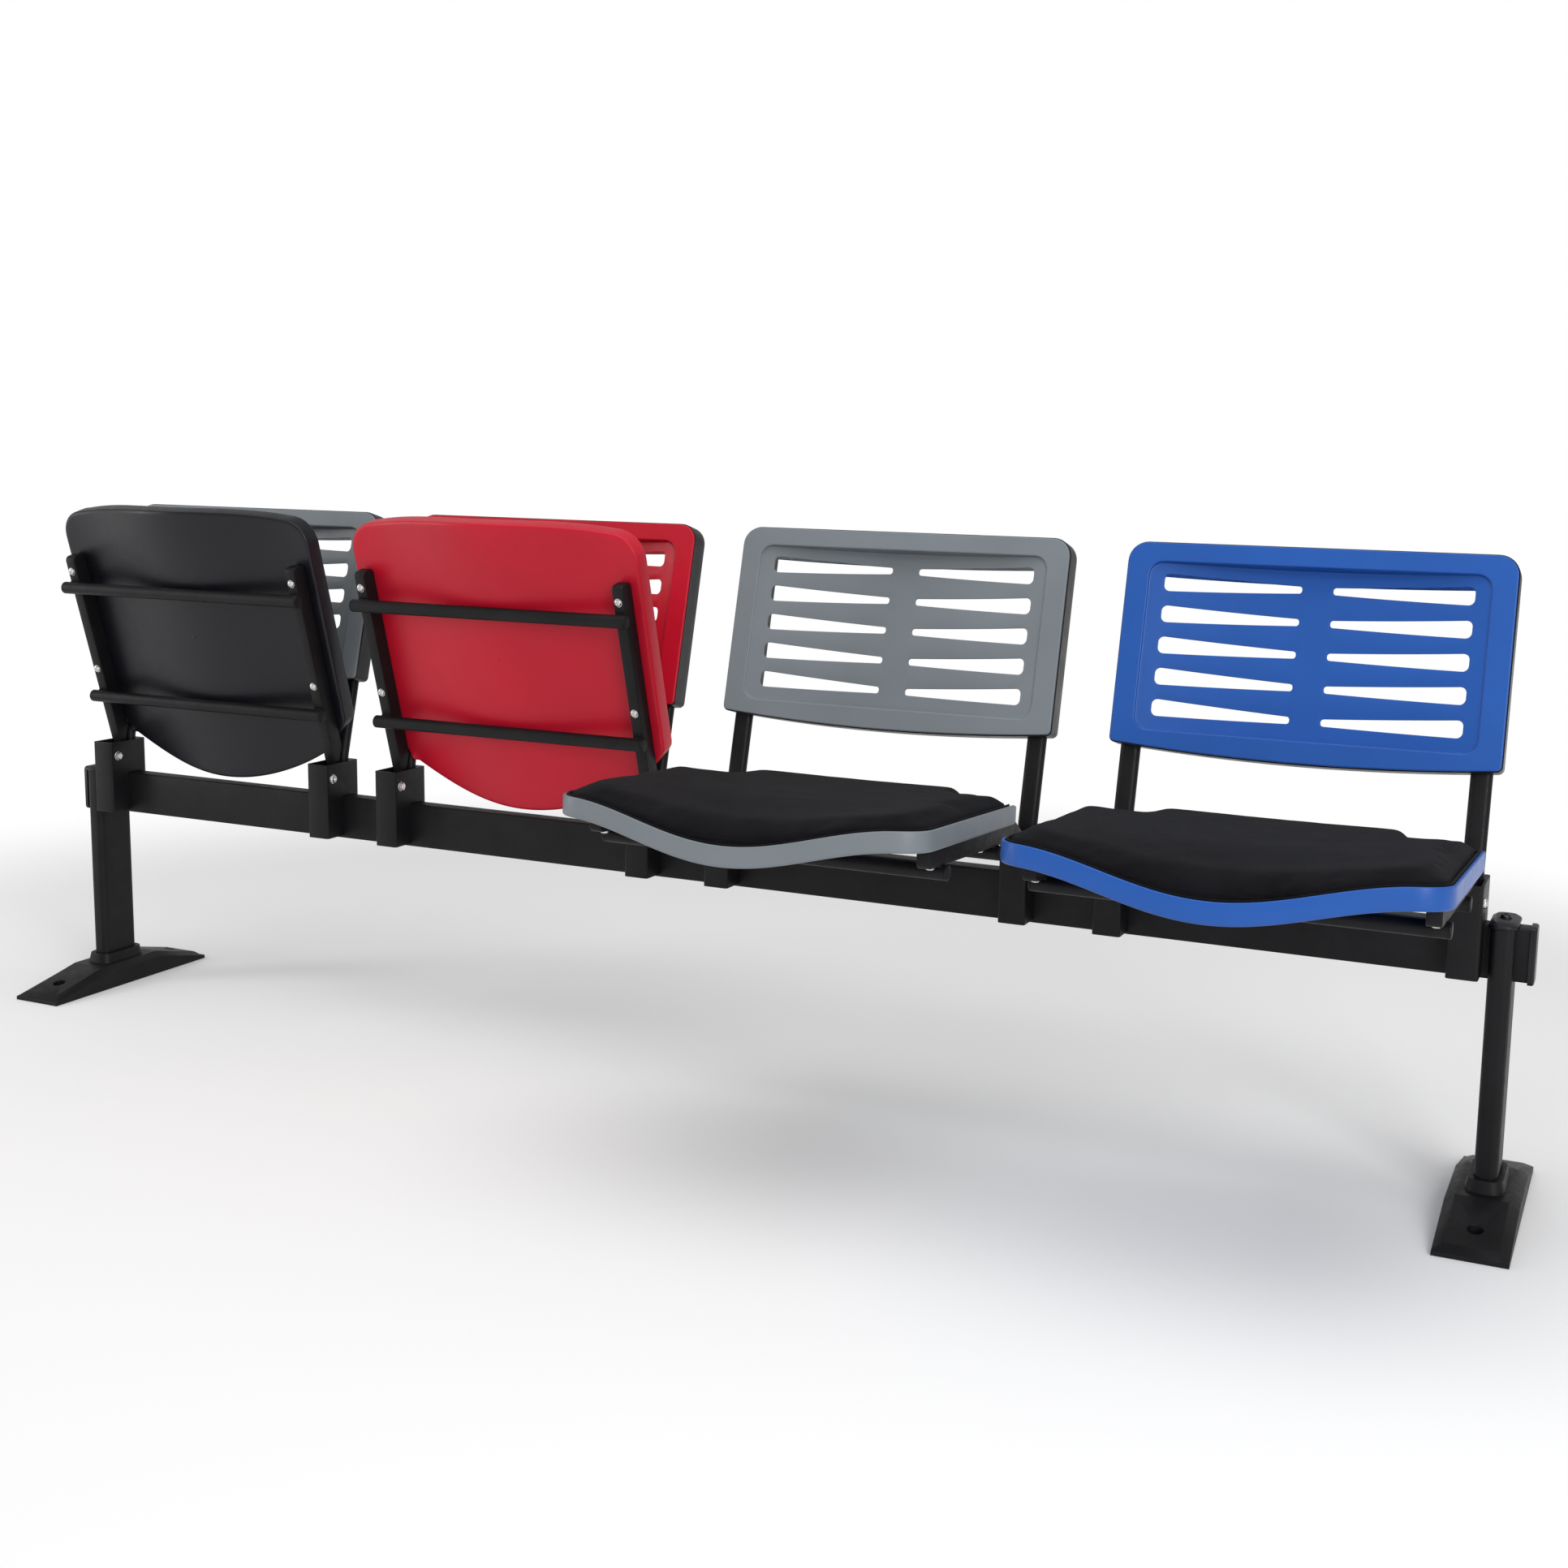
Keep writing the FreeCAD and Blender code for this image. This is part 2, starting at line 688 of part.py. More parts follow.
def make_back_panel():
    behind = (0, 60, 0)
    plate = Part.Face(outline_wire(0.0, 0.0, 0.0)).extrude(FreeCAD.Vector(0, panel_thick, 0))
    edge_face = [edge for edge in plate.Edges
                 if edge.BoundBox.YMax < 0.01 and edge.Length > 1.0]
    plate = plate.makeChamfer(panel_edge_chamfer, edge_face)
    middle = (0, (field_low + field_high) / 2)
    half_height = (field_high - field_low) / 2
    bowl = prism(rectangle(field_half_width + field_skin, half_height + field_skin, *middle),
                 field_corner + field_skin, upright_plane(0.5), behind).common(dish(field_skin))
    cavity = prism(rectangle(field_half_width, half_height, *middle), field_corner,
                   upright_plane(-1.0), behind).common(dish(0.0))
    panel = plate.fuse(bowl).cut(cavity)
    for row in range(slot_rows):
        outer_middle = slot_first_outer + slot_outer_pitch * row
        inner_middle = slot_first_inner + slot_inner_pitch * row
        for side in (-1, 1):
            corners = [
                (side * slot_outer_x, outer_middle - slot_outer_height / 2),
                (side * slot_outer_x, outer_middle + slot_outer_height / 2),
                (side * slot_inner_x, inner_middle + slot_inner_height / 2),
                (side * slot_inner_x, inner_middle - slot_inner_height / 2),
            ]
            panel = panel.cut(prism(corners, 0.0, upright_plane(0.0), behind))
    for side in (-1, 1):
        for row in screw_rows:
            x = side * clamp_offset
            panel = panel.fuse(flat_rod(boss_radius, (x, panel_thick - 1, row),
                                        (x, upright_front, row)))
            panel = panel.cut(flat_rod(screw_thread_radius, (x, panel_thick, row),
                                       (x, upright_front + 1, row)))
    return panel.removeSplitter()


upright_tilt = math.radians(back_tilt)
bend_out_y = upright_y + upright_bend_radius * (1 - math.cos(upright_tilt))
bend_out_z = upright_bend_level + upright_bend_radius * math.sin(upright_tilt)
upright_depth = ((bend_out_y - back_y) * math.cos(upright_tilt)
                 - (bend_out_z - back_z) * math.sin(upright_tilt))
upright_front = upright_depth - upright_thick / 2 - hole_clearance


def make_back_shell():
    depth = rear_depth - panel_thick
    body = Part.Face(outline_wire(rear_overhang, rear_overhang, panel_thick)).extrude(
        FreeCAD.Vector(0, depth, 0))
    rear_edges = [edge for edge in body.Edges
                  if edge.BoundBox.YMin > rear_depth - 0.01 and edge.Length > 1.0]
    body = body.makeChamfer(rear_edge_chamfer, rear_edges)
    inset = rear_overhang - rear_wall
    hollow = Part.Face(outline_wire(inset, inset, panel_thick - 1)).extrude(
        FreeCAD.Vector(0, depth + 1 - rear_wall, 0))
    body = body.cut(hollow)
    middle = (0, (window_low + window_high) / 2)
    half_height = (window_high - window_low) / 2
    inner_wall = prism(rectangle(window_half_width + rear_wall, half_height + rear_wall, *middle),
                       field_corner + rear_wall, upright_plane(panel_thick), (0, depth - 1, 0))
    body = body.fuse(inner_wall)
    window = prism(rectangle(window_half_width, half_height, *middle), field_corner,
                   upright_plane(-1.0), (0, rear_depth + 10, 0))
    body = body.cut(window)
    field_middle = (0, (field_low + field_high) / 2)
    field_half_height = (field_high - field_low) / 2
    room = field_skin + bowl_clearance
    bowl_room = prism(rectangle(field_half_width + room, field_half_height + room, *field_middle),
                      field_corner + room, upright_plane(-1.0), (0, 60, 0)).common(dish(room))
    body = body.cut(bowl_room)
    for side in (-1, 1):
        x = side * clamp_offset
        gate = oval(upright_width / 2 + gate_clearance, upright_thick / 2 + gate_clearance,
                    upright_depth, -40.0)
        gate = Part.Face(gate).extrude(FreeCAD.Vector(0, 0, 60))
        gate.translate(FreeCAD.Vector(x, 0, 0))
        body = body.cut(gate)
        for row in screw_rows:
            body = body.cut(flat_rod(screw_radius + hole_clearance, (x, 20, row), (x, 60, row)))
    return body.removeSplitter()


def make_back_screw(x, row):
    head = flat_rod(screw_head_radius, (x, rear_depth, row), (x, rear_depth + screw_head_height, row))
    shank = flat_rod(screw_thread_radius, (x, panel_thick + 1, row), (x, rear_depth, row))
    return head.fuse(shank)


def to_back_place(shape, middle_x):
    moved = shape.copy()
    moved.rotate(FreeCAD.Vector(0, 0, 0), FreeCAD.Vector(1, 0, 0), -back_tilt)
    moved.translate(FreeCAD.Vector(middle_x, back_y, back_z))
    return moved


# Seats. The underside of the shell is one smooth surface, deeper along the middle.

def blend(share):
    share = max(0.0, min(1.0, share))
    return (1 - math.cos(math.pi * share)) / 2


def underside(x, reach):
    lip = blend((reach - lip_start) / (shell_front - lip_start))
    belly = shell_belly_level + (shell_lip_level - shell_belly_level) * lip
    return belly + (shell_edge_level - belly) * blend(abs(x) / belly_half_width)


def saddle_section(low, high, reach, columns):
    """Closed wire across the seat at one reach, between two levels."""
    curves = []
    for level in (low, high):
        curve = Part.BSplineCurve()
        curve.interpolate([FreeCAD.Vector(x, -reach, level(x, reach)) for x in columns])
        curves.append(curve)
    near = Part.makeLine(curves[0].StartPoint, curves[1].StartPoint)
    far = Part.makeLine(curves[0].EndPoint, curves[1].EndPoint)
    return Part.Wire([curves[0].toShape(), far, curves[1].toShape(), near])


def saddle(low, high, stations=fine_stations, rear_stations=(), columns=saddle_columns):
    """Solid between two levels, each a function of (x, reach).

    It is straight from the last rear station to the first front one and ruled outside them.
    """
    start = rear_stations[-1] if rear_stations else saddle_rear
    straight = Part.Face(saddle_section(low, high, start, columns))
    straight = straight.extrude(FreeCAD.Vector(0, start - stations[0], 0))
    pieces = [straight]
    for row in (rear_stations, stations):
        if row:
            sections = [saddle_section(low, high, reach, columns) for reach in row]
            pieces.append(Part.makeLoft(sections, True, True))
    return pieces[0].fuse(pieces[1:])


def hidden_saddle(low, high):
    """The same kind of solid with flat sides, for surfaces that nothing shows."""
    loops = []
    for reach in hidden_stations:
        loop = [FreeCAD.Vector(x, -reach, low(x, reach)) for x in hidden_columns]
        loop += [FreeCAD.Vector(x, -reach, high(x, reach)) for x in reversed(hidden_columns)]
        loops.append(loop)
    return stacked(loops)


def raised(height):
    return lambda x, reach: underside(x, reach) + height


def seat_loop(inset, corner_cut):
    """Plan outline of the seat as a wire; corner_cut draws the rear corners in further."""
    half = shell_half_width - inset
    front = shell_front - inset
    side_front = shell_front_side - inset
    radius = shell_front_corner - inset
    corner = [half - radius, side_front - radius]
    slant = math.sqrt(0.5)
    side_rear = shell_side_rear + corner_cut * 1.1
    tail_x = shell_corner_x - inset * 0.6 - corner_cut * 0.25
    tail_reach = shell_corner_reach + inset * 0.8 + corner_cut * 0.65
    rear = shell_rear + inset

    def at(x, reach):
        return FreeCAD.Vector(x, -reach, 0)

    arc_mid = (corner[0] + radius * slant, corner[1] + radius * slant)
    edges = [
        Part.Arc(at(-corner[0], side_front), at(0, front), at(corner[0], side_front)).toShape(),
        Part.Arc(at(corner[0], side_front), at(*arc_mid), at(half, corner[1])).toShape(),
        Part.makeLine(at(half, corner[1]), at(half, side_rear)),
        Part.makeLine(at(half, side_rear), at(tail_x, tail_reach)),
        Part.Arc(at(tail_x, tail_reach), at(0, rear), at(-tail_x, tail_reach)).toShape(),
        Part.makeLine(at(-tail_x, tail_reach), at(-half, side_rear)),
        Part.makeLine(at(-half, side_rear), at(-half, corner[1])),
        Part.Arc(at(-half, corner[1]), at(-arc_mid[0], arc_mid[1]),
                 at(-corner[0], side_front)).toShape(),
    ]
    return Part.Wire(edges)


def seat_prism(inset, corner_cut=0.0):
    loop = seat_loop(inset, corner_cut)
    loop.translate(FreeCAD.Vector(0, 0, -60))
    return Part.Face(loop).extrude(FreeCAD.Vector(0, 0, 260))


def upright_room(margin):
    """Space the uprights take in the seat's own frame when it is tipped right up.

    The space is bounded by the upright's straight front below its bend and above it.
    """
    turn = math.radians(tipped_angle)
    tilt = math.radians(back_tilt)
    front_radius = upright_bend_radius + upright_thick / 2
    ahead = upright_y - upright_thick / 2 - margin - pivot_y
    above = upright_bend_level + front_radius * math.tan(tilt / 2) - pivot_z
    reach = -ahead * math.cos(turn) + above * math.sin(turn)
    level = ahead * math.sin(turn) + above * math.cos(turn)
    low_run = 90.0
    high_run = 150.0
    ceiling = level + 260.0
    corners = [
        (reach - low_run, level - low_run / math.tan(turn)),
        (reach, level),
        (reach + high_run, level + high_run / math.tan(turn - tilt)),
        (reach + high_run, ceiling),
        (reach - low_run, ceiling),
    ]
    half_width = upright_width / 2 + margin
    rooms = []
    for side in (-1, 1):
        start = side * clamp_offset - half_width
        rooms.append(prism(corners, 0.0, side_plane(start), (2 * half_width, 0, 0)))
    return rooms[0].fuse(rooms[1])


def make_seat_shell():
    body = saddle(underside, raised(shell_band)).common(seat_prism(0.0))
    hollow = hidden_saddle(raised(shell_wall), raised(shell_band + 60.0))
    hollow = hollow.common(seat_prism(shell_wall))
    body = body.cut(hollow).cut(upright_room(upright_margin))
    for side in (-1, 1):
        for reach in seat_bolt_reaches:
            x = side * clamp_offset
            body = body.cut(flat_rod(seat_bolt_radius, (x, -reach, rail_high - 5),
                                     (x, -reach, seat_bolt_top)))
    return body


def make_top_panel():
    low = shell_band - top_panel_thick - top_panel_below_rim
    panel = saddle(raised(0.0), raised(low + top_panel_thick))
    panel = panel.common(seat_prism(shell_wall + nest_gap)).cut(upright_room(upright_margin))
    return panel.cut(hidden_saddle(raised(-60.0), raised(low)))


def make_pad_board():
    low = shell_wall + nest_gap
    board = hidden_saddle(raised(low), raised(low + board_thick))
    outline = seat_prism(shell_wall + board_inset, board_corner_cut)
    return board.common(outline).cut(upright_room(upright_margin))


def make_pad():
    """Pad with a low crown that falls to its outline and follows the saddle."""
    loop = seat_loop(shell_wall + nest_gap, pad_corner_cut)
    region = Part.Face(loop)

    def crown(x, reach):
        here = FreeCAD.Vector(x, -reach, 0)
        share = 0.0
        if region.isInside(here, 0.01, True):
            gap = loop.distToShape(Part.Vertex(here))[0]
            share = min(gap / pad_edge_fade, 1.0)
        middle = blend(abs(x) / pad_crown_half_width)
        height = pad_crown_middle + (pad_crown_side - pad_crown_middle) * middle
        edge = underside(x, reach) + shell_band + pad_edge_rise
        return edge + height * math.sin(math.pi / 2 * share)

    base = shell_wall + board_thick + 2 * nest_gap
    body = saddle(raised(base - 4), crown, pad_stations, pad_rear_stations, pad_columns)
    below = hidden_saddle(raised(base - 60), raised(base))
    body = body.common(seat_prism(shell_wall + nest_gap, pad_corner_cut)).cut(below)
    return body.cut(upright_room(upright_margin))


def make_seat_frame():
    """Two rails with hinge eyes, joined by two cross tubes, as one welded frame."""
    slope = math.tan(math.radians(90 - tipped_angle + back_tilt))
    eye_rear = eye_radius - 0.5
    profile = [
        (-eye_rear, 0.0),
        (neck_front, 0.0),
        (neck_front, rail_low),
        (rail_reach, rail_low),
        (rail_reach, rail_high),
        ((rail_high - rail_rear_level) / slope, rail_high),
        (-eye_rear, rail_rear_level - slope * eye_rear),
    ]
    radii = [0.0, 0.0, 0.0, rail_end_corner, rail_end_corner, 0.0, 0.0]
    eye_half = clamp_width / 2 - clamp_wall - eye_side_gap
    half_width = rail_width / 2
    parts = []
    for side in (-1, 1):
        x = side * clamp_offset
        rail = prism(profile, radii, side_plane(x - half_width), (rail_width, 0, 0), corner_facets)
        channel = block(x - half_width + rail_sheet, x + half_width - rail_sheet,
                        -rail_reach + rail_sheet, -channel_start, rail_low + rail_sheet,
                        rail_high + 1)
        rail = rail.cut(channel)
        parts.append(rail.fuse(flat_rod(eye_radius, (x - eye_half, 0, 0), (x + eye_half, 0, 0),
                                        tube_sides)))
    for reach in tube_reaches:
        tube = flat_rod(tube_radius, (-tube_half_length, -reach, tube_level),
                        (tube_half_length, -reach, tube_level), tube_sides)
        ends = [edge for edge in tube.Edges
                if abs(edge.Vertexes[0].X - edge.Vertexes[1].X) < 1.0]
        parts.append(tube.makeChamfer(tube_end_chamfer, ends))
    frame = parts[0].fuse(parts[1:])
    bore_half = tube_half_length - tube_plug
    vent_x = clamp_offset - tube_vent_inset
    for reach in tube_reaches:
        bore = flat_rod(tube_radius - tube_wall, (-bore_half, -reach, tube_level),
                        (bore_half, -reach, tube_level))
        vent = flat_rod(tube_vent_radius, (vent_x, -reach, tube_level),
                        (vent_x, -reach, tube_level + 2 * tube_radius), 6)
        frame = frame.cut(bore.fuse(vent))
    for side in (-1, 1):
        x = side * clamp_offset
        frame = frame.cut(rod(pin_radius + running_clearance, (x - clamp_width, 0, 0),
                              (x + clamp_width, 0, 0)))
        for reach in seat_bolt_reaches:
            frame = frame.cut(flat_rod(seat_bolt_radius + hole_clearance, (x, -reach, rail_low - 1),
                                       (x, -reach, rail_low + rail_sheet + 1)))
    return frame.removeSplitter()


def make_seat_bolts():
    bolts = []
    for side in (-1, 1):
        x = side * clamp_offset
        for reach in seat_bolt_reaches:
            head = bolt_head(seat_bolt_head_radius, (x, -reach, rail_low),
                             (x, -reach, rail_low - seat_bolt_head_height), seat_bolt_head_chamfer)
            bolts.append(head.fuse(flat_rod(seat_bolt_radius, (x, -reach, rail_low),
                                            (x, -reach, seat_bolt_top))))
    return Part.makeCompound(bolts)


def to_seat_place(shape, place):
    moved = shape.copy()
    moved.rotate(FreeCAD.Vector(0, 0, 0), FreeCAD.Vector(1, 0, 0), -rest_angles[place])
    moved.translate(FreeCAD.Vector(seat_middles[place], pivot_y, pivot_z))
    return moved


# Assembly.

nodes = {"beam": make_beam()}
right_hand = {
    "beam_cap": make_beam_cap(),
    "post": make_post(),
    "post_cap": make_post_cap(),
    "foot": make_foot(),
}
for name, shape in right_hand.items():
    nodes[name + "_right"] = shape
    nodes[name + "_left"] = mirrored(shape)
paired = {
    "post_bolts": make_post_bolt(),
    "bridge_plates": plate_in_post(beam_bottom - bridge_thickness, bridge_thickness,
                                   post_bolt_radius),
    "anchor_plates": plate_in_post(post_bottom, anchor_thickness, foot_bolt_radius),
    "foot_bolts": make_foot_bolt(),
}
for name, shape in paired.items():
    nodes[name] = Part.makeCompound([shape, mirrored(shape)])

clamp = make_clamp()
clamp_bolt = make_clamp_bolt()
hinge_pin = make_hinge_pin()
upright = make_upright()
back_panel = make_back_panel()
back_shell = make_back_shell()
seat_shell = make_seat_shell()
seat_frame = make_seat_frame()
seat_bolts = make_seat_bolts()
top_panel = make_top_panel()
pad_board = make_pad_board()
pad = make_pad()

clamp_bolts = []
hinge_pins = []
back_screws = []
for place, middle_x in enumerate(seat_middles):
    number = str(place + 1)
    for side, side_name in ((-1, "left"), (1, "right")):
        shift = FreeCAD.Vector(middle_x + side * clamp_offset, 0, 0)
        here = clamp.copy()
        here.translate(shift)
        nodes["clamp_" + number + "_" + side_name] = here
        here = upright.copy()
        here.translate(shift)
        nodes["upright_" + number + "_" + side_name] = here
        here = clamp_bolt.copy()
        here.translate(shift)
        clamp_bolts.append(here)
        here = hinge_pin.copy() if side > 0 else mirrored(hinge_pin)
        here.translate(shift)
        hinge_pins.append(here)
        for row in screw_rows:
            back_screws.append(to_back_place(make_back_screw(side * clamp_offset, row), middle_x))
    nodes["back_panel_" + number] = to_back_place(back_panel, middle_x)
    nodes["back_shell_" + number] = to_back_place(back_shell, middle_x)
    nodes["seat_shell_" + number] = to_seat_place(seat_shell, place)
    nodes["seat_frame_" + number] = to_seat_place(seat_frame, place)
    nodes["seat_bolts_" + number] = to_seat_place(seat_bolts, place)
    if place + 1 in padded_seats:
        nodes["pad_board_" + number] = to_seat_place(pad_board, place)
        nodes["pad_" + number] = to_seat_place(pad, place)
    else:
        nodes["top_panel_" + number] = to_seat_place(top_panel, place)
nodes["clamp_bolts"] = Part.makeCompound(clamp_bolts)
nodes["hinge_pins"] = Part.makeCompound(hinge_pins)
nodes["back_screws"] = Part.makeCompound(back_screws)

# The origin goes under the middle of the whole bench, so only Y has to move. The open seats
# reach furthest forward, with the lower edge of the lip, and the feet reach furthest back.
open_turn = math.radians(open_angle)
front = pivot_y - shell_front * math.cos(open_turn) + shell_lip_level * math.sin(open_turn)
shift_y = -(front + foot_rear) / 2
os.makedirs("parts", exist_ok=True)
for name, shape in nodes.items():
    shape.translate(FreeCAD.Vector(0, shift_y, 0))
    shape.exportStep("parts/" + name + ".step")
print("nodes", len(nodes), "shift_y", round(shift_y, 3))
for name, shape in nodes.items():
    print(name, len(shape.Solids), shape.isValid(), round(shape.Volume / 1000, 2))
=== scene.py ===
import bpy
import bmesh
import json
import math
import numpy as np
from mathutils import Matrix, Vector


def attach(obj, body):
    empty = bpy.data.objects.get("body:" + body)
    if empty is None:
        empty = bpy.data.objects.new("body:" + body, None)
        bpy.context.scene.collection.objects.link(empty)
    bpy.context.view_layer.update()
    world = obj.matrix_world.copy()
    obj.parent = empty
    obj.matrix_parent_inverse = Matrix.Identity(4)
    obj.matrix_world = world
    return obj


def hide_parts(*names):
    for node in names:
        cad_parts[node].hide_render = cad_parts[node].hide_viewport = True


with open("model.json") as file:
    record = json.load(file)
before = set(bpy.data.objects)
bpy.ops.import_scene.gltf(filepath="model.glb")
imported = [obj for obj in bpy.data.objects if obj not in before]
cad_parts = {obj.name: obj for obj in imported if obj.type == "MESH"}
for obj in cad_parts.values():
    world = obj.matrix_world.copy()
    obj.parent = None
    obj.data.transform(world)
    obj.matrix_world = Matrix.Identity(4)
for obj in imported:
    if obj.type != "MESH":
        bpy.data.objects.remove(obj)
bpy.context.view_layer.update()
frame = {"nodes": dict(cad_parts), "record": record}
print("frame loaded")

# Sizes are in millimetres and become metres when a piece is made.
bench = {"setBack": 139.656, "seatMiddles": [-900, -300, 300, 900], "clampOffset": 232}
hinge = {"y": -25, "z": 414, "open": 3.6, "tipped": 74.6}
hinge["turns"] = [hinge["tipped"], hinge["tipped"], hinge["open"], hinge["open"]]
back = {"y": 28, "z": 575, "tilt": 14.4, "halfWidth": 257, "bow": 12}
sideNames = {-1: "left", 1: "right"}


def coordsOf(mesh):
    coords = np.empty(len(mesh.vertices) * 3)
    mesh.vertices.foreach_get("co", coords)
    return coords.reshape(-1, 3)


def setCoords(mesh, coords):
    mesh.vertices.foreach_set("co", coords.ravel())
    mesh.update()


def newObject(name, data):
    piece = bpy.data.objects.new(name, data)
    bpy.context.collection.objects.link(piece)
    return piece


def smoothTo(mesh, sharpAngle):
    mesh.shade_smooth()
    mesh.set_sharp_from_angle(angle=math.radians(sharpAngle))


def makePiece(name, points, faces, sharpAngle=40):
    mesh = bpy.data.meshes.new(name)
    mesh.from_pydata((np.asarray(points, float) / 1000).tolist(), [], faces)
    work = bmesh.new()
    work.from_mesh(mesh)
    bmesh.ops.remove_doubles(work, verts=work.verts, dist=1e-6)
    bmesh.ops.recalc_face_normals(work, faces=work.faces)
    work.to_mesh(mesh)
    work.free()
    smoothTo(mesh, sharpAngle)
    return newObject(name, mesh)


def loftRings(rings, closeFirst=True, closeLast=True, flatEnds=False):
    # Joins rings of equal length. An end is closed by one flat face or by a fan.
    count = len(rings[0])
    points = [tuple(point) for ring in rings for point in ring]
    faces = []
    for low in range(0, (len(rings) - 1) * count, count):
        high = low + count
        for here in range(count):
            after = (here + 1) % count
            faces.append((low + here, low + after, high + after, high + here))
    for wanted, ring in ((closeFirst, 0), (closeLast, len(rings) - 1)):
        start = ring * count
        if wanted and flatEnds:
            faces.append(tuple(range(start, start + count)))
        elif wanted:
            points.append(tuple(np.mean(rings[ring], axis=0)))
            middle = len(points) - 1
            faces += [(start + (here + 1) % count, start + here, middle) for here in range(count)]
    return points, faces


def joinShapes(shapes):
    points, faces = [], []
    for morePoints, moreFaces in shapes:
        start = len(points)
        points += [tuple(point) for point in morePoints]
        faces += [tuple(start + index for index in face) for face in moreFaces]
    return points, faces


def turned(profile, start, along, sides=36):
    # A shape turned about a line, from (radius, distance) pairs.
    start = np.asarray(start, float)
    along = np.asarray(along, float) / np.linalg.norm(along)
    side = np.cross(along, (0.0, 0.0, 1.0))
    if np.linalg.norm(side) < 1e-6:
        side = np.cross(along, (0.0, 1.0, 0.0))
    side /= np.linalg.norm(side)
    other = np.cross(along, side)
    turns = np.linspace(0, 2 * math.pi, sides, endpoint=False)
    circle = np.outer(np.cos(turns), side) + np.outer(np.sin(turns), other)
    return loftRings([start + along * distance + circle * radius for radius, distance in profile])


def roundedLoop(corners, radii, steps=6):
    # Straight sides with rounded corners.
    corners = [np.asarray(corner, float) for corner in corners]
    loop = []
    for index, corner in enumerate(corners):
        before = corners[index - 1] - corner
        after = corners[(index + 1) % len(corners)] - corner
        before /= np.linalg.norm(before)
        after /= np.linalg.norm(after)
        half = math.acos(float(np.clip(before @ after, -1, 1))) / 2
        reach = radii[index] / math.tan(half)
        inward = (before + after) / np.linalg.norm(before + after)
        centre = corner + inward * (radii[index] / math.sin(half))
        first, last = corner + before * reach - centre, corner + after * reach - centre
        sweep = math.pi - 2 * half
        for step in range(steps + 1):
            share = step / steps
            arm = first * math.sin((1 - share) * sweep) + last * math.sin(share * sweep)
            loop.append(centre + arm / math.sin(sweep))
    return np.array(loop)


def inwardNormals(loop):
    along = np.roll(loop, -1, axis=0) - np.roll(loop, 1, axis=0)
    along /= np.linalg.norm(along, axis=1)[:, None]
    normals = np.stack([-along[:, 1], along[:, 0]], axis=1)
    middle = loop.mean(axis=0)
    if np.sum(normals * (middle - loop)) < 0:
        normals = -normals
    return normals


def arcRows(steps=3):
    # The turns of a quarter round, from flat to upright.
    return [math.pi / 2 * step / steps for step in range(steps + 1)]


def slabRings(loop, low, high, edge):
    # Rings of a slab between two levels, with its rim rounded.
    normals = inwardNormals(loop)
    rows = [(edge * (1 - math.sin(turn)), low + edge * (1 - math.cos(turn))) for turn in arcRows()]
    rows += [(inset, high + low - level) for inset, level in reversed(rows)]
    return [np.column_stack([loop + normals * inset, np.full(len(loop), level)])
            for inset, level in rows]


def bakeModifiers(piece):
    # Turns the live modifiers into a plain mesh, so that patterns and poses stay on the surface.
    bpy.context.view_layer.update()
    evaluated = piece.evaluated_get(bpy.context.evaluated_depsgraph_get())
    mesh = bpy.data.meshes.new_from_object(evaluated)
    old = piece.data
    piece.modifiers.clear()
    piece.data = mesh
    bpy.data.meshes.remove(old)
    return piece


def placed(points, number, origin, turn, facing):
    # From a piece's own frame (aside, out, up) to its place, turned about a line along the beam.
    # Facing is -1 where out points to the front.
    points = np.asarray(points, float)
    sine, cosine = math.sin(math.radians(turn)), math.cos(math.radians(turn))
    x = points[:, 0] + bench["seatMiddles"][number - 1]
    y = origin["y"] + bench["setBack"] + facing * points[:, 1] * cosine + points[:, 2] * sine
    z = origin["z"] - facing * points[:, 1] * sine + points[:, 2] * cosine
    return np.stack([x, y, z], axis=1)


def seatPlace(points, number):
    return placed(points, number, hinge, hinge["turns"][number - 1], -1)


def backPlace(points, number):
    return placed(points, number, back, back["tilt"], 1)


# Finishes, each with its own grain, wear and relief.

def newMaterial(name):
    material = bpy.data.materials.new(name)
    material.use_nodes = True
    tree = material.node_tree
    coordinates = tree.nodes.new("ShaderNodeTexCoord")
    return material, tree, tree.nodes["Principled BSDF"], coordinates.outputs["Object"]


def fillInputs(tree, node, values):
    # Each input takes a plain value or the output of another node.
    for label, value in values.items():
        if isinstance(value, bpy.types.NodeSocket):
            tree.links.new(value, node.inputs[label])
        else:
            node.inputs[label].default_value = value
    return node


def addNode(tree, kind, values, **fields):
    node = tree.nodes.new(kind)
    for field, value in fields.items():
        setattr(node, field, value)
    return fillInputs(tree, node, values)


def noiseOn(tree, source, scale, detail=3, roughness=0.5):
    return addNode(tree, "ShaderNodeTexNoise", {
        "Vector": source, "Scale": scale, "Detail": detail, "Roughness": roughness}).outputs["Fac"]


def spreadTo(tree, value, low, high):
    return addNode(tree, "ShaderNodeMapRange", {
        "Value": value, "From Min": 0.3, "From Max": 0.7, "To Min": low,
        "To Max": high}).outputs["Result"]


def tintBetween(tree, value, first, second):
    ramp = addNode(tree, "ShaderNodeValToRGB", {"Fac": value})
    for element, colour, position in zip(ramp.color_ramp.elements, (first, second), (0.3, 0.7)):
        element.color = (*colour, 1)
        element.position = position
    return ramp.outputs["Color"]


def bumpFrom(tree, height, strength, distance, after=None):
    values = {"Strength": strength, "Distance": distance, "Height": height}
    if after is not None:
        values["Normal"] = after
    return addNode(tree, "ShaderNodeBump", values).outputs["Normal"]


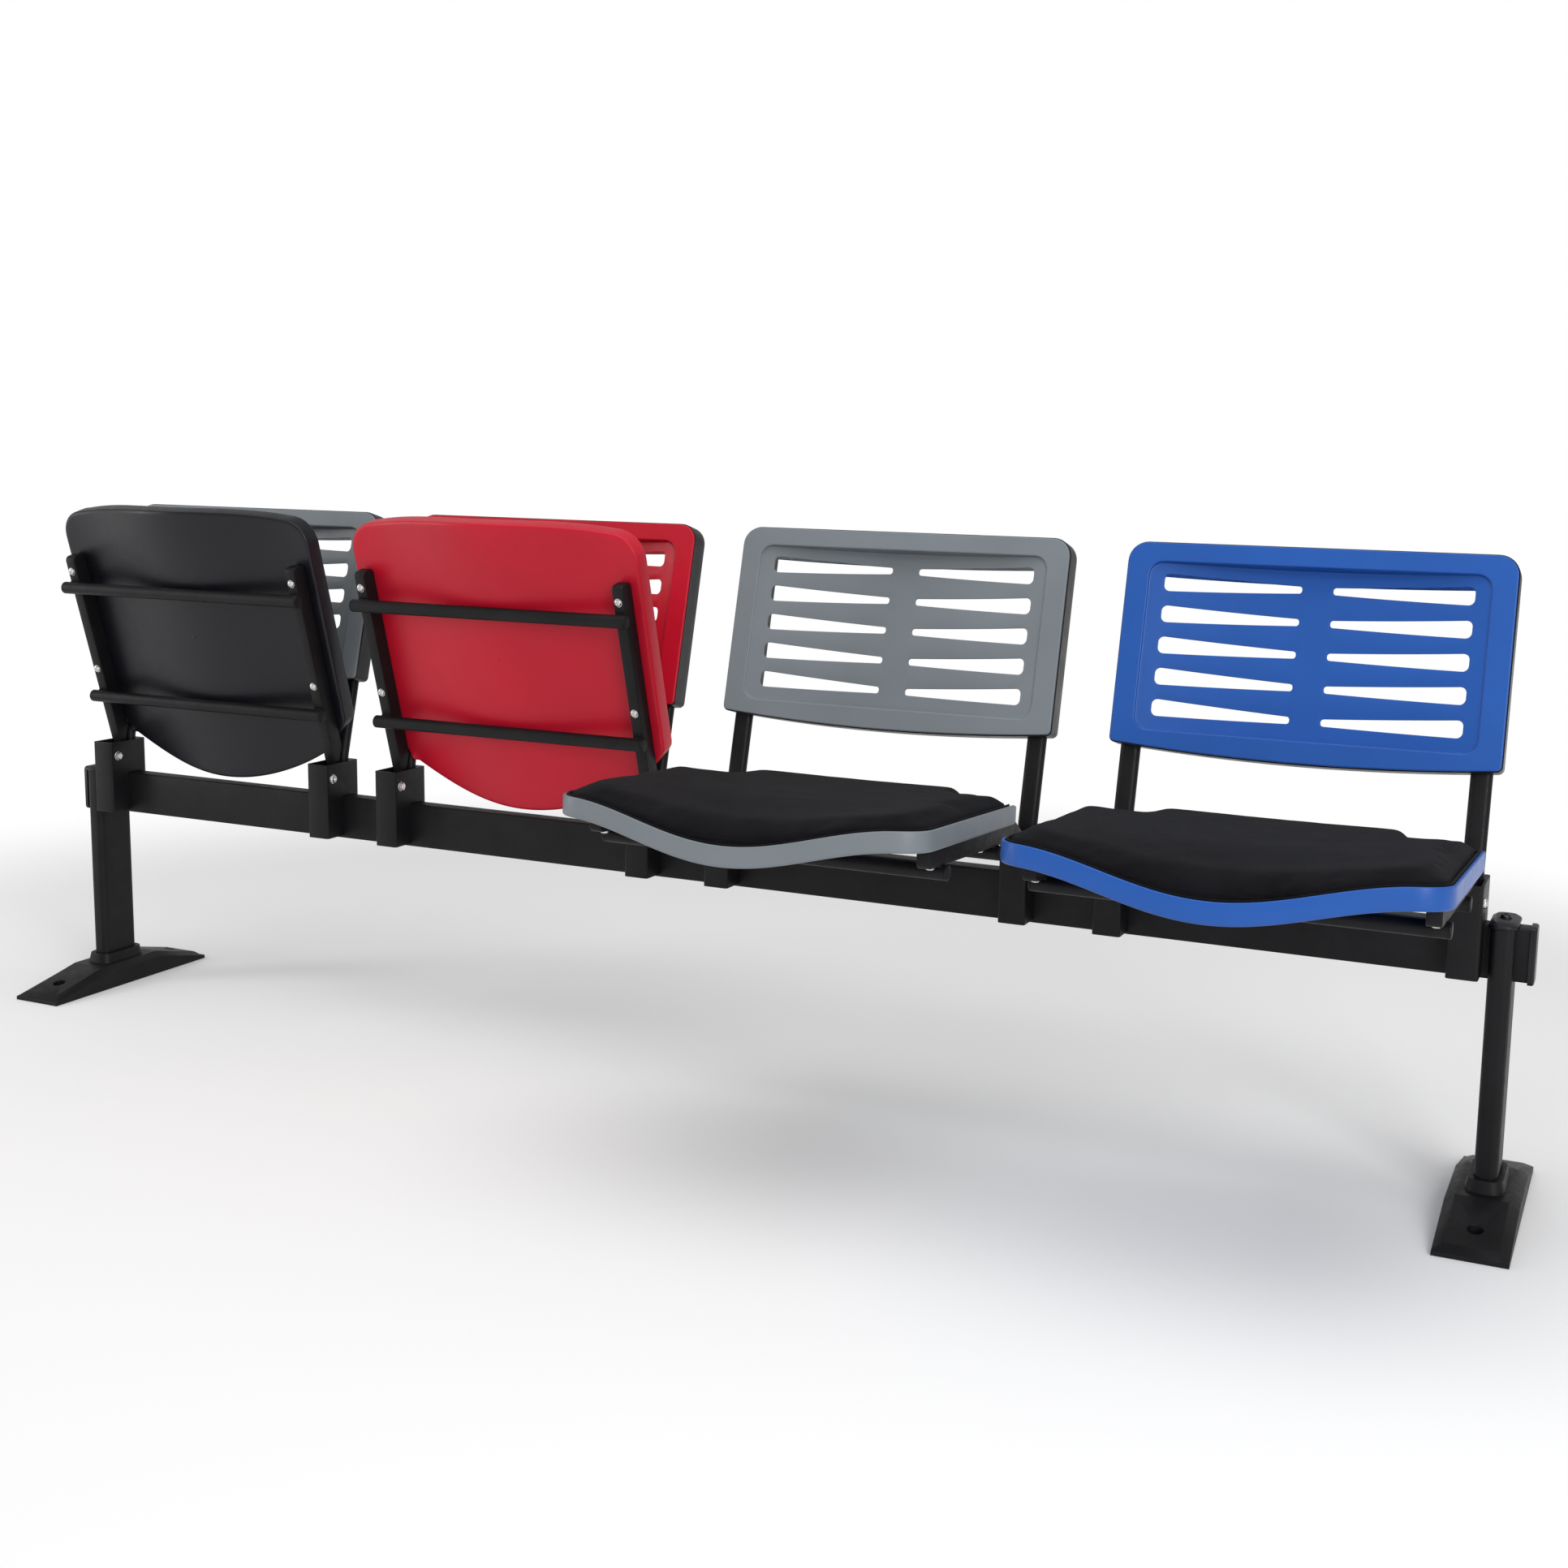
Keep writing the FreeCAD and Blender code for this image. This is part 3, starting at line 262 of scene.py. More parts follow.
def grainedFinish(name, tints, cloud, rub, roughness, relief, settings):
    # Tints drift with one noise and gloss with another. The relief goes from coarse to fine.
    material, tree, shader, place = newMaterial(name)
    values = {"Base Color": tintBetween(tree, noiseOn(tree, place, *cloud), *tints), **settings}
    if rub:
        values["Roughness"] = spreadTo(tree, noiseOn(tree, place, *rub), *roughness)
    normal = None
    for scale, detail, strength, distance in relief:
        height = noiseOn(tree, place, scale, detail)
        normal = bumpFrom(tree, height, strength, distance, normal)
    fillInputs(tree, shader, {**values, "Normal": normal})
    return material


def mouldedPlastic(name, colour, roughness, gloss):
    darker = [channel * 0.9 for channel in colour]
    return grainedFinish(name, (darker, colour), (7, 2), (60, 4, 0.6),
                         (roughness - 0.04, roughness + 0.05),
                         [(35, 1, 0.25, 0.0006), (1500, 2, 0.5, 0.00006)],
                         {"IOR": 1.49, "Specular IOR Level": gloss})


def powderCoat(name, colour, roughness):
    lighter = [channel * 1.35 + 0.002 for channel in colour]
    return grainedFinish(name, (colour, lighter), (18, 3), (90, 4, 0.65),
                         (roughness - 0.06, roughness + 0.07),
                         [(620, 2, 0.5, 0.00012), (2600, 1, 0.3, 0.00004)],
                         {"Specular IOR Level": 0.2})


def platedSteel(name, colour, roughness):
    darker = [channel * 0.82 for channel in colour]
    return grainedFinish(name, (darker, colour), (260, 3), (260, 3),
                         (roughness - 0.06, roughness + 0.1), [(1800, 2, 0.35, 0.00003)],
                         {"Metallic": 1})


def pressedBoard(name):
    return grainedFinish(name, ((0.3, 0.2, 0.11), (0.5, 0.36, 0.22)), (320, 4), None, None,
                         [(320, 4, 0.5, 0.0002)], {"Roughness": 0.8})


def padCloth(name, colour):
    # A plain weave from two crossed waves, a little uneven and without gloss.
    material, tree, shader, place = newMaterial(name)
    bands = {"Vector": place, "Scale": 190, "Distortion": 1.2, "Detail": 1, "Detail Scale": 3}
    waves = [addNode(tree, "ShaderNodeTexWave", bands, wave_type="BANDS",
                     bands_direction=axis).outputs["Fac"] for axis in ("X", "Y")]
    weave = addNode(tree, "ShaderNodeMath", {0: waves[0], 1: waves[1]},
                    operation="MULTIPLY").outputs[0]
    cloud = noiseOn(tree, place, 22, 3)
    mixed = addNode(tree, "ShaderNodeMath", {0: weave, 1: 0.3, 2: cloud},
                    operation="MULTIPLY_ADD").outputs[0]
    lighter = [channel * 2 + 0.001 for channel in colour]
    slow = bumpFrom(tree, noiseOn(tree, place, 16, 2), 0.35, 0.0022)
    fillInputs(tree, shader, {
        "Base Color": tintBetween(tree, mixed, colour, lighter), "Roughness": 0.88,
        "Sheen Weight": 0.03, "Sheen Roughness": 0.5, "Specular IOR Level": 0.07,
        "Normal": bumpFrom(tree, weave, 0.7, 0.00025, slow)})
    return material


finishes = {
    "black_plastic": mouldedPlastic("blackPlastic", (0.0055, 0.0055, 0.009), 0.36, 0.34),
    "grey_plastic": mouldedPlastic("greyPlastic", (0.2, 0.226, 0.246), 0.38, 0.36),
    "red_plastic": mouldedPlastic("redPlastic", (0.56, 0.007, 0.026), 0.36, 0.3),
    "blue_plastic": mouldedPlastic("bluePlastic", (0.014, 0.096, 0.41), 0.35, 0.36),
    "powder_coat": powderCoat("blackPowderCoat", (0.005, 0.005, 0.006), 0.46),
    "cast_black": powderCoat("blackCasting", (0.005, 0.005, 0.006), 0.43),
    "black_fabric": padCloth("blackPadCloth", (0.003, 0.0029, 0.004)),
    "board": pressedBoard("rawBoard"),
    "zinc_steel": platedSteel("brightZinc", (0.72, 0.71, 0.69), 0.28),
    "black_bolt": platedSteel("blackZinc", (0.06, 0.06, 0.065), 0.38),
}
slotOf = {part["node"]: part["material_slot"] for part in frame["record"]["subparts"]}
for node, slotName in slotOf.items():
    shown = frame["nodes"][node]
    shown.data.materials.clear()
    shown.data.materials.append(finishes[slotName])
print("finishes made")


def dress(piece, body, slotName, *nodes):
    piece.data.materials.clear()
    piece.data.materials.append(finishes[slotName])
    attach(piece, body)
    if nodes:
        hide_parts(*nodes)
    return piece


# Frame: the beam, legs and clamps keep their form and get soft edges, and the tubes are made round.

softEdges = {"beam": 0.5, "beam_cap_left": 1.2, "beam_cap_right": 1.2, "post_left": 0.7,
             "post_right": 0.7, "post_cap_left": 1.4, "post_cap_right": 1.4, "foot_left": 1.6,
             "foot_right": 1.6}
for number in range(1, 5):
    for sideName in sideNames.values():
        softEdges[f"clamp_{number}_{sideName}"] = 0.9


def softenNode(node, width):
    source = frame["nodes"][node]
    mesh = source.data.copy()
    mesh.transform(source.matrix_world)
    work = bmesh.new()
    work.from_mesh(mesh)
    bmesh.ops.remove_doubles(work, verts=work.verts, dist=1e-5)
    bmesh.ops.dissolve_limit(work, angle_limit=math.radians(0.5), verts=work.verts,
                             edges=work.edges)
    work.to_mesh(mesh)
    work.free()
    smoothTo(mesh, 35)
    words = node.split("_")
    name = words[0] + "".join(word.capitalize() for word in words[1:])
    piece = newObject(name, mesh)
    rounded = piece.modifiers.new("softEdges", "BEVEL")
    rounded.width = width / 1000
    rounded.segments = 3
    rounded.limit_method = "ANGLE"
    rounded.angle_limit = math.radians(38)
    rounded.harden_normals = True
    bakeModifiers(piece)
    return dress(piece, "frame", slotOf[node], node)


for node, width in softEdges.items():
    softenNode(node, width)
print("beam, legs and clamps made")


uprightForm = {"width": 28, "thick": 16, "y": 20, "foot": 385.2, "bend": 436, "radius": 60,
               "rise": 392.2, "end": 1.5, "clear": 3.4, "roomHalf": 18}


def makeUpright(number, side):
    form = uprightForm
    tilt = math.radians(back["tilt"])
    corners = [(-form["width"] / 2, -form["thick"] / 2), (form["width"] / 2, -form["thick"] / 2),
               (form["width"] / 2, form["thick"] / 2), (-form["width"] / 2, form["thick"] / 2)]
    oval = roundedLoop(corners, [form["thick"] / 2 - 0.01] * 4, 8)
    inward = inwardNormals(oval)
    stations = [(0.0, form["y"], form["foot"], 0.0), (0.0, form["y"], form["bend"], 0.0)]
    for step in range(1, 13):
        turn = tilt * step / 12
        stations.append((turn, form["y"] + form["radius"] * (1 - math.cos(turn)),
                         form["bend"] + form["radius"] * math.sin(turn), 0.0))
    lastY, lastZ = stations[-1][1:3]
    for share, inset in ((0.4, 0), (0.8, 0), (1 - form["end"] / form["rise"], 0), (1, form["end"])):
        stations.append((tilt, lastY + math.sin(tilt) * form["rise"] * share,
                         lastZ + math.cos(tilt) * form["rise"] * share, inset))
    middle = bench["seatMiddles"][number - 1] + side * bench["clampOffset"]
    rings = []
    for turn, y, z, inset in stations:
        loop = oval + inward * inset
        rings.append(np.column_stack([middle + loop[:, 0],
                                      y + bench["setBack"] + loop[:, 1] * math.cos(turn),
                                      z - loop[:, 1] * math.sin(turn)]))
    points, faces = loftRings(rings, flatEnds=True)
    piece = makePiece(f"upright{number}{sideNames[side].capitalize()}", points, faces, 40)
    return dress(piece, "frame", "powder_coat", f"upright_{number}_{sideNames[side]}")


for number in range(1, 5):
    for side in sideNames:
        makeUpright(number, side)
print("uprights made")


railForm = {"width": 18, "low": 23.5, "high": 50.4, "reach": 352, "neck": 9.5, "rearLevel": 29,
            "eye": 10, "eyeHalf": 15.8, "endRound": 8, "edge": 1.6, "tube": 10, "tubeLevel": 14,
            "tubeReaches": (105, 301), "tubeHalf": 247, "weld": 2.1, "weldSet": 6.6}


def makeSeatFrame(number):
    form = railForm
    slope = math.tan(math.radians(90 - hinge["tipped"] + back["tilt"]))
    neck = form["neck"]
    reach, low, high = form["reach"], form["low"], form["high"]
    corners = [(-neck, 0), (neck, 0), (neck, low), (reach, low), (reach, high),
               ((high - form["rearLevel"]) / slope, high), (-neck, form["rearLevel"] - slope * neck)]
    rail = roundedLoop(corners, [0.6, 0.6, 3, form["endRound"], form["endRound"], 5, 3])
    shapes = []
    for side in sideNames:
        x = side * bench["clampOffset"]
        half = form["width"] / 2
        points, faces = loftRings(slabRings(rail, x - half, x + half, form["edge"]), flatEnds=True)
        points = np.array(points)[:, [2, 0, 1]]
        shapes.append((points, faces))
        half, eye = form["eyeHalf"], form["eye"]
        barrel = [(eye - 0.8, 0), (eye, 0.8), (eye, 2 * half - 0.8), (eye - 0.8, 2 * half)]
        shapes.append(turned(barrel, (x - half, 0, 0), (1, 0, 0), 40))
        for reach in form["tubeReaches"]:
            ripple = [(0.9, -8.4)]
            for step in range(33):
                ripple.append((form["weld"] + 0.22 * math.sin(step * 1.55), -8 + step * 0.5))
            ripple.append((0.9, 8.4))
            for sideways in (-1, 1):
                place = (x, reach + sideways * form["weldSet"], low - 0.9)
                shapes.append(turned(ripple, place, (1, 0, 0), 10))
    for reach in form["tubeReaches"]:
        tube, length = form["tube"], 2 * form["tubeHalf"]
        end = [(tube - 2.2, 0), (tube - 1.0, 0.25), (tube - 0.3, 0.9), (tube, 1.8), (tube, 2.9),
               (tube - 0.35, 3.1), (tube - 0.35, 3.5), (tube, 3.7), (tube, 8)]
        profile = end + [(radius, length - distance) for radius, distance in reversed(end)]
        shapes.append(turned(profile, (-form["tubeHalf"], reach, form["tubeLevel"]), (1, 0, 0), 44))
    points, faces = joinShapes(shapes)
    piece = makePiece(f"seatFrame{number}", seatPlace(points, number), faces, 38)
    return dress(piece, f"seat_{number}", "powder_coat", f"seat_frame_{number}")


for number in range(1, 5):
    makeSeatFrame(number)
print("seat frames made")


# Fasteners: one head is built up in steps of (rise, width) and set on every point.

sizeLabels = ("Head radius", "Head height", "Washer radius", "Washer height", "Shank radius",
              "Shank length")
domedHead = [(0.3, 1.0), (0.25, 0.965), (0.2, 0.9), (0.15, 0.82), (0.1, 0.72), (0.0, 0.9),
             (-0.5, 0.96)]
hexHead = [(0.08, 1.0), (0.7, 1.0), (0.14, 0.95), (0.08, 0.9), (0.0, 0.55), (-0.08, 0.95)]


def fastenerTree(name, steps):
    tree = bpy.data.node_groups.new(name, "GeometryNodeTree")
    face = tree.interface
    face.new_socket("Fasteners", in_out="OUTPUT", socket_type="NodeSocketGeometry")
    face.new_socket("Places", in_out="INPUT", socket_type="NodeSocketGeometry")
    for label in sizeLabels:
        face.new_socket(label, in_out="INPUT", socket_type="NodeSocketFloat")
    face.new_socket("Head sides", in_out="INPUT", socket_type="NodeSocketInt")
    face.new_socket("Finish", in_out="INPUT", socket_type="NodeSocketMaterial")
    given = tree.nodes.new("NodeGroupInput").outputs

    def scaled(socket, factor):
        return addNode(tree, "ShaderNodeMath", {0: socket, 1: factor},
                       operation="MULTIPLY").outputs[0]

    def lifted(geometry, height):
        reach = addNode(tree, "ShaderNodeCombineXYZ", {"Z": height}).outputs[0]
        return addNode(tree, "GeometryNodeTransform", {
            "Geometry": geometry, "Translation": reach}).outputs["Geometry"]

    def disc(radius, height, sides):
        return addNode(tree, "GeometryNodeMeshCylinder", {
            "Vertices": sides, "Radius": radius, "Depth": height}).outputs["Mesh"]

    def joined(*parts):
        join = tree.nodes.new("GeometryNodeJoinGeometry")
        for part in parts:
            tree.links.new(part, join.inputs[0])
        return join.outputs[0]

    outline = addNode(tree, "GeometryNodeMeshCircle", {
        "Vertices": given["Head sides"], "Radius": given["Head radius"]},
        fill_type="NGON").outputs["Mesh"]
    shape, values = outline, {}
    for rise, width in steps:
        push = addNode(tree, "GeometryNodeExtrudeMesh", {
            **values, "Mesh": shape, "Individual": False,
            "Offset Scale": scaled(given["Head height"], rise)}, mode="FACES")
        values = {"Selection": push.outputs["Top"]}
        shape = addNode(tree, "GeometryNodeScaleElements", {
            **values, "Geometry": push.outputs["Mesh"], "Scale": width},
            domain="FACE").outputs["Geometry"]
    under = addNode(tree, "GeometryNodeFlipFaces", {"Mesh": outline}).outputs["Mesh"]
    head = addNode(tree, "GeometryNodeMergeByDistance", {
        "Geometry": joined(shape, under), "Distance": 0.00001}).outputs["Geometry"]
    rim, shank = given["Washer height"], given["Shank length"]
    whole = joined(lifted(head, rim),
                   lifted(disc(given["Washer radius"], rim, 32), scaled(rim, 0.5)),
                   lifted(disc(given["Shank radius"], shank, 16), scaled(shank, -0.5)))
    aim = addNode(tree, "GeometryNodeInputNamedAttribute", {"Name": "aim"},
                  data_type="FLOAT_VECTOR").outputs["Attribute"]
    spread = addNode(tree, "GeometryNodeInstanceOnPoints", {
        "Points": given["Places"], "Instance": whole, "Rotation": aim}).outputs["Instances"]
    real = addNode(tree, "GeometryNodeRealizeInstances", {"Geometry": spread}).outputs["Geometry"]
    finish = addNode(tree, "GeometryNodeSetMaterial", {
        "Geometry": real, "Material": given["Finish"]}).outputs["Geometry"]
    addNode(tree, "NodeGroupOutput", {"Fasteners": finish})
    return tree


fastenerTrees = {"domed": fastenerTree("domedFasteners", domedHead),
                 "hex": fastenerTree("hexFasteners", hexHead)}


def setInputs(modifier, values):
    # Values go in by the sockets' identifiers.
    for item in modifier.node_group.interface.items_tree:
        if item.in_out == "INPUT" and item.name in values:
            modifier[item.identifier] = values[item.name]


def setFasteners(name, body, kind, places, aims, sizes, slotName, *nodes):
    mesh = bpy.data.meshes.new(name)
    mesh.from_pydata((np.asarray(places, float) / 1000).tolist(), [], [])
    turns = [tuple(Vector(aim).to_track_quat("Z", "Y").to_euler()) for aim in aims]
    mesh.attributes.new("aim", "FLOAT_VECTOR", "POINT").data.foreach_set(
        "vector", np.array(turns).ravel())
    piece = newObject(name, mesh)
    modifier = piece.modifiers.new("fasteners", "NODES")
    modifier.node_group = fastenerTrees[kind]
    values = {label: size / 1000 for label, size in zip(sizeLabels, sizes)}
    values["Head sides"] = 6 if kind == "hex" else 36
    values["Finish"] = finishes[slotName]
    setInputs(modifier, values)
    bakeModifiers(piece)
    smoothTo(piece.data, 32)
    return dress(piece, body, slotName, *nodes)


postX, postY = 1176, 15 + bench["setBack"]
clamps = [(middle + side * bench["clampOffset"], side) for middle in bench["seatMiddles"]
          for side in sideNames]
pinY = hinge["y"] + bench["setBack"]
screws = [backPlace([(side * bench["clampOffset"], 38, row)], number)[0]
          for number in range(1, 5) for side in sideNames for row in (62, 216)]
tiltTurn = math.radians(back["tilt"])
# Each row: head, places, directions, the sizes that sizeLabels lists, finish and node.
fasteners = {
    "postBolts": ("domed", [(side * postX, postY, 390) for side in sideNames], [(0, 0, 1)] * 2,
                  (6.6, 4.0, 8.2, 0.9, 3.9, 86), "black_bolt", "post_bolts"),
    "footBolts": ("hex", [(side * postX, postY, 5.4) for side in sideNames], [(0, 0, -1)] * 2,
                  (7.4, 3.4, 8.0, 0.8, 4.9, 14), "black_bolt", "foot_bolts"),
    "clampBolts": ("hex", [(x, 40 + bench["setBack"], 346) for x, side in clamps],
                   [(0, 1, 0)] * 8, (7.2, 4.3, 8.0, 1.0, 3.9, 69), "black_bolt", "clamp_bolts"),
    "hingePins": ("domed", [(x + side * 20, pinY, hinge["z"]) for x, side in clamps],
                  [(side, 0, 0) for x, side in clamps], (7.0, 3.6, 7.6, 0.8, 3.95, 42),
                  "zinc_steel", "hinge_pins"),
    "hingeNuts": ("hex", [(x - side * 20, pinY, hinge["z"]) for x, side in clamps],
                  [(-side, 0, 0) for x, side in clamps], (7.2, 4.0, 7.4, 0.8, 3.9, 3),
                  "zinc_steel"),
    "backScrews": ("domed", screws, [(0, math.cos(tiltTurn), -math.sin(tiltTurn))] * len(screws),
                   (3.7, 1.8, 4.0, 0.4, 1.5, 32), "black_bolt", "back_screws"),
}
for name, values in fasteners.items():
    setFasteners(name, "frame", *values)
for number in range(1, 5):
    places = seatPlace([(side * bench["clampOffset"], reach, 23.5) for side in sideNames
                        for reach in (152, 327)], number)
    turn = math.radians(hinge["turns"][number - 1])
    setFasteners(f"seatBolts{number}", f"seat_{number}", "domed", places,
                 [(0, -math.sin(turn), -math.cos(turn))] * 4, (5.6, 3.1, 6.5, 0.9, 2.9, 30),
                 "zinc_steel", f"seat_bolts_{number}")
print("fasteners made")


# Seats: the trays, the hard tops of the bare ones and the pads of the others.

seatForm = {"halfWidth": 257, "front": 442, "frontSide": 423.5, "frontCorner": 44, "sideRear": 80,
            "tailX": 212, "tailReach": 27, "rear": -33, "wall": 4, "band": 27, "edgeLevel": 51,
            "bellyLevel": 27, "lipLevel": 13, "lipStart": 260, "bellyHalf": 240, "ringPoints": 260,
            "middleReach": 205.0, "gateReach": 222.0, "topSet": 5, "rimRound": 1.6}


def easeShare(share):
    return (1 - np.cos(np.pi * np.clip(share, 0, 1))) / 2


def underside(x, reach):
    form = seatForm
    lip = easeShare((reach - form["lipStart"]) / (form["front"] - form["lipStart"]))
    belly = form["bellyLevel"] + (form["lipLevel"] - form["bellyLevel"]) * lip
    return belly + (form["edgeLevel"] - belly) * easeShare(np.abs(x) / form["bellyHalf"])


def uprightLimit(reach):
    # Highest level in the seat's own frame that stays clear of the uprights when it is tipped.
    form = uprightForm
    turn = math.radians(hinge["tipped"])
    tilt = math.radians(back["tilt"])
    ahead = form["y"] - form["thick"] / 2 - form["clear"] - hinge["y"]
    outside = form["radius"] + form["thick"] / 2
    above = form["bend"] + outside * math.tan(tilt / 2) - hinge["z"]
    start = -ahead * math.cos(turn) + above * math.sin(turn)
    level = ahead * math.sin(turn) + above * math.cos(turn) - 0.4
    beyond = (reach - start) / math.tan(turn - tilt)
    before = (reach - start) / math.tan(turn)
    return level + np.where(reach > start, beyond, before)


def arcPoints(first, middle, last, steps):
    # Points on the circle through three places, from the first to just before the last.
    (ax, ay), (bx, by), (cx, cy) = first, middle, last
    area = 2 * (ax * (by - cy) + bx * (cy - ay) + cx * (ay - by))
    aa, bb, cc = ax * ax + ay * ay, bx * bx + by * by, cx * cx + cy * cy
    x = (aa * (by - cy) + bb * (cy - ay) + cc * (ay - by)) / area
    y = (aa * (cx - bx) + bb * (ax - cx) + cc * (bx - ax)) / area
    radius = math.hypot(ax - x, ay - y)
    start, through, end = (math.atan2(py - y, px - x) for px, py in (first, middle, last))
    sweep = (end - start) % (2 * math.pi)
    if (through - start) % (2 * math.pi) > sweep:
        sweep -= 2 * math.pi
    turns = [start + sweep * step / steps for step in range(steps)]
    return [(x + radius * math.cos(turn), y + radius * math.sin(turn)) for turn in turns]


def evenLoop(points, count, soften):
    # A closed line walked at even steps, its corners softened by a moving average.
    points = np.asarray(points, float)
    closed = np.vstack([points, points[:1]])
    lengths = np.concatenate([[0], np.cumsum(np.linalg.norm(np.diff(closed, axis=0), axis=1))])
    steps = np.linspace(0, lengths[-1], int(lengths[-1]), endpoint=False)
    loop = np.stack([np.interp(steps, lengths, closed[:, i]) for i in range(2)], axis=1)
    window = np.hanning(2 * soften + 3)[1:-1]
    window /= window.sum()
    wrapped = np.vstack([loop[-soften:], loop, loop[:soften]])
    loop = np.stack([np.convolve(wrapped[:, i], window, "valid") for i in range(2)], axis=1)
    picks = np.linspace(0, len(loop), count, endpoint=False)
    wrapped = np.vstack([loop, loop[:1]])
    return np.stack([np.interp(picks, np.arange(len(wrapped)), wrapped[:, i]) for i in range(2)],
                    axis=1)


def seatLoop(cut=0, inset=0, soften=9):
    # The seat's outline from above, drawn in and with its rear corners cut back where asked.
    form = seatForm
    half, frontSide = form["halfWidth"] - inset, form["frontSide"] - inset
    radius = form["frontCorner"] - inset
    cornerX, cornerReach = half - radius, frontSide - radius
    slant = math.sqrt(0.5) * radius
    sideRear = form["sideRear"] + cut * 1.1
    tailX = form["tailX"] - inset * 0.6 - cut * 0.25
    tailReach = form["tailReach"] + inset * 0.8 + cut * 0.65
    points = arcPoints((-cornerX, frontSide), (0, form["front"] - inset), (cornerX, frontSide), 60)
    points += arcPoints((cornerX, frontSide), (cornerX + slant, cornerReach + slant),
                        (half, cornerReach), 24)
    points += [(half, cornerReach), (half, sideRear)]
    points += arcPoints((tailX, tailReach), (0, form["rear"] + inset), (-tailX, tailReach), 60)
    points += [(-tailX, tailReach), (-half, sideRear), (-half, cornerReach)]
    points += arcPoints((-half, cornerReach), (-cornerX - slant, cornerReach + slant),
                        (-cornerX, frontSide), 24)
    return evenLoop(points, form["ringPoints"], soften)


def clearOfUprights(ring, fade=8, gap=0):
    # Lowers a seat's rear corners where the uprights pass when it is tipped.
    inner = bench["clampOffset"] - uprightForm["roomHalf"]
    share = easeShare((np.abs(ring[:, 0]) - inner + fade) / fade)
    limit = uprightLimit(ring[:, 1]) - gap
    ring[:, 2] = np.where(ring[:, 2] > limit, ring[:, 2] + (limit - ring[:, 2]) * share, ring[:, 2])
    return ring


def backrestLimit(x, reach):
    # Highest level in the seat's own frame that passes in front of the backrest's lower edge.
    turn = math.radians(hinge["tipped"])
    tilt = math.radians(back["tilt"])
    ahead, below = back["y"] - hinge["y"], back["z"] - hinge["z"]
    face = ahead * math.cos(tilt) - below * math.sin(tilt)
    drop = back["bow"] * (1 - np.clip(np.abs(x) / back["halfWidth"], 0, 1) ** 2) + 2
    along = ahead * math.sin(tilt) + below * math.cos(tilt) - drop
    edgeReach = along * math.sin(turn - tilt) - face * math.cos(turn - tilt)
    return (face + np.maximum(reach, edgeReach) * math.cos(turn - tilt)) / math.sin(turn - tilt)


def keepClear(piece, number):
    # Keeps a swollen pad off the backrest and the uprights when the seat is tipped.
    gap = padForm["gap"]
    coords = coordsOf(piece.data) * 1000
    turn = math.radians(hinge["turns"][number - 1])
    aside = coords[:, 0] - bench["seatMiddles"][number - 1]
    ahead = hinge["y"] + bench["setBack"] - coords[:, 1]
    above = coords[:, 2] - hinge["z"]
    reach = ahead * math.cos(turn) + above * math.sin(turn)
    level = above * math.cos(turn) - ahead * math.sin(turn)
    level = np.minimum(level, backrestLimit(aside, reach) - gap)
    local = clearOfUprights(np.column_stack([aside, reach, level]), padForm["slope"], gap)
    setCoords(piece.data, seatPlace(local, number) / 1000)


def edgeRing(loop, normals, inset, rise, fromTop=False):
    plan = loop + normals * inset
    base = underside(loop[:, 0], loop[:, 1])
    level = base + rise + (seatForm["band"] if fromTop else 0)
    return np.column_stack([plan, level])


def innerRings(loop, normals, inset, offset, shares):
    edge = loop + normals * inset
    middle = np.array([0.0, seatForm["middleReach"]])
    rings = []
    for share in shares:
        plan = middle + (edge - middle) * share
        rings.append(np.column_stack([plan, underside(plan[:, 0], plan[:, 1]) + offset]))
    return rings


inwardShares = [0.04, 0.1, 0.18, 0.27, 0.36, 0.45, 0.54, 0.63, 0.71, 0.79, 0.86, 0.92, 0.97]


def dishedRings(profile, inset, low, high):
    # A saddle-shaped sheet between two levels. Each profile row has how far in it lies, how high,
    # and True where that height is from the top of the rim.
    loop = seatLoop()
    normals = inwardNormals(loop)
    rings = innerRings(loop, normals, inset, low, inwardShares + [1.0])
    rings += [edgeRing(loop, normals, *row) for row in profile]
    rings += innerRings(loop, normals, inset, high, [1.0] + inwardShares[::-1])
    return [clearOfUprights(ring) for ring in rings]


def makeSeatShell(number, slotName):
    wall, lip, reach = seatForm["wall"], seatForm["rimRound"], seatForm["gateReach"]
    profile = [(wall * (1 - math.sin(turn)), wall * (1 - math.cos(turn))) for turn in arcRows(5)[1:]]
    profile += [(0.0, 14)]
    profile += [(lip * (1 - math.cos(turn)), lip * (math.sin(turn) - 1), True)
                for turn in arcRows(4)]
    profile += [(3.2, 0, True), (3.8, -0.3, True), (4.0, -1.0, True), (4.0, wall + 2),
                (4.6, wall + 0.6)]
    gate = [(3.4, -0.8), (3.4, 0.1), (3.0, 0.35), (1.5, 0.2), (1.2, 0.55), (0.8, 0.75)]
    mark = turned(gate, (0, reach, float(underside(0.0, reach))), (0, 0, -1), 24)
    points, faces = joinShapes([loftRings(dishedRings(profile, 6, 0, wall)), mark])
    piece = makePiece(f"seatShell{number}", seatPlace(points, number), faces, 50)
    return dress(piece, f"seat_{number}", slotName, f"seat_shell_{number}")


def makeTopPanel(number, slotName):
    base = seatForm["band"] - seatForm["topSet"]
    profile = [(4.4, base + 0.4), (4.3, base + 1.6), (4.9, base + 2.6)]
    points, faces = loftRings(dishedRings(profile, 7, base, base + 3))
    piece = makePiece(f"topPanel{number}", seatPlace(points, number), faces, 50)
    return dress(piece, f"seat_{number}", slotName, f"top_panel_{number}")


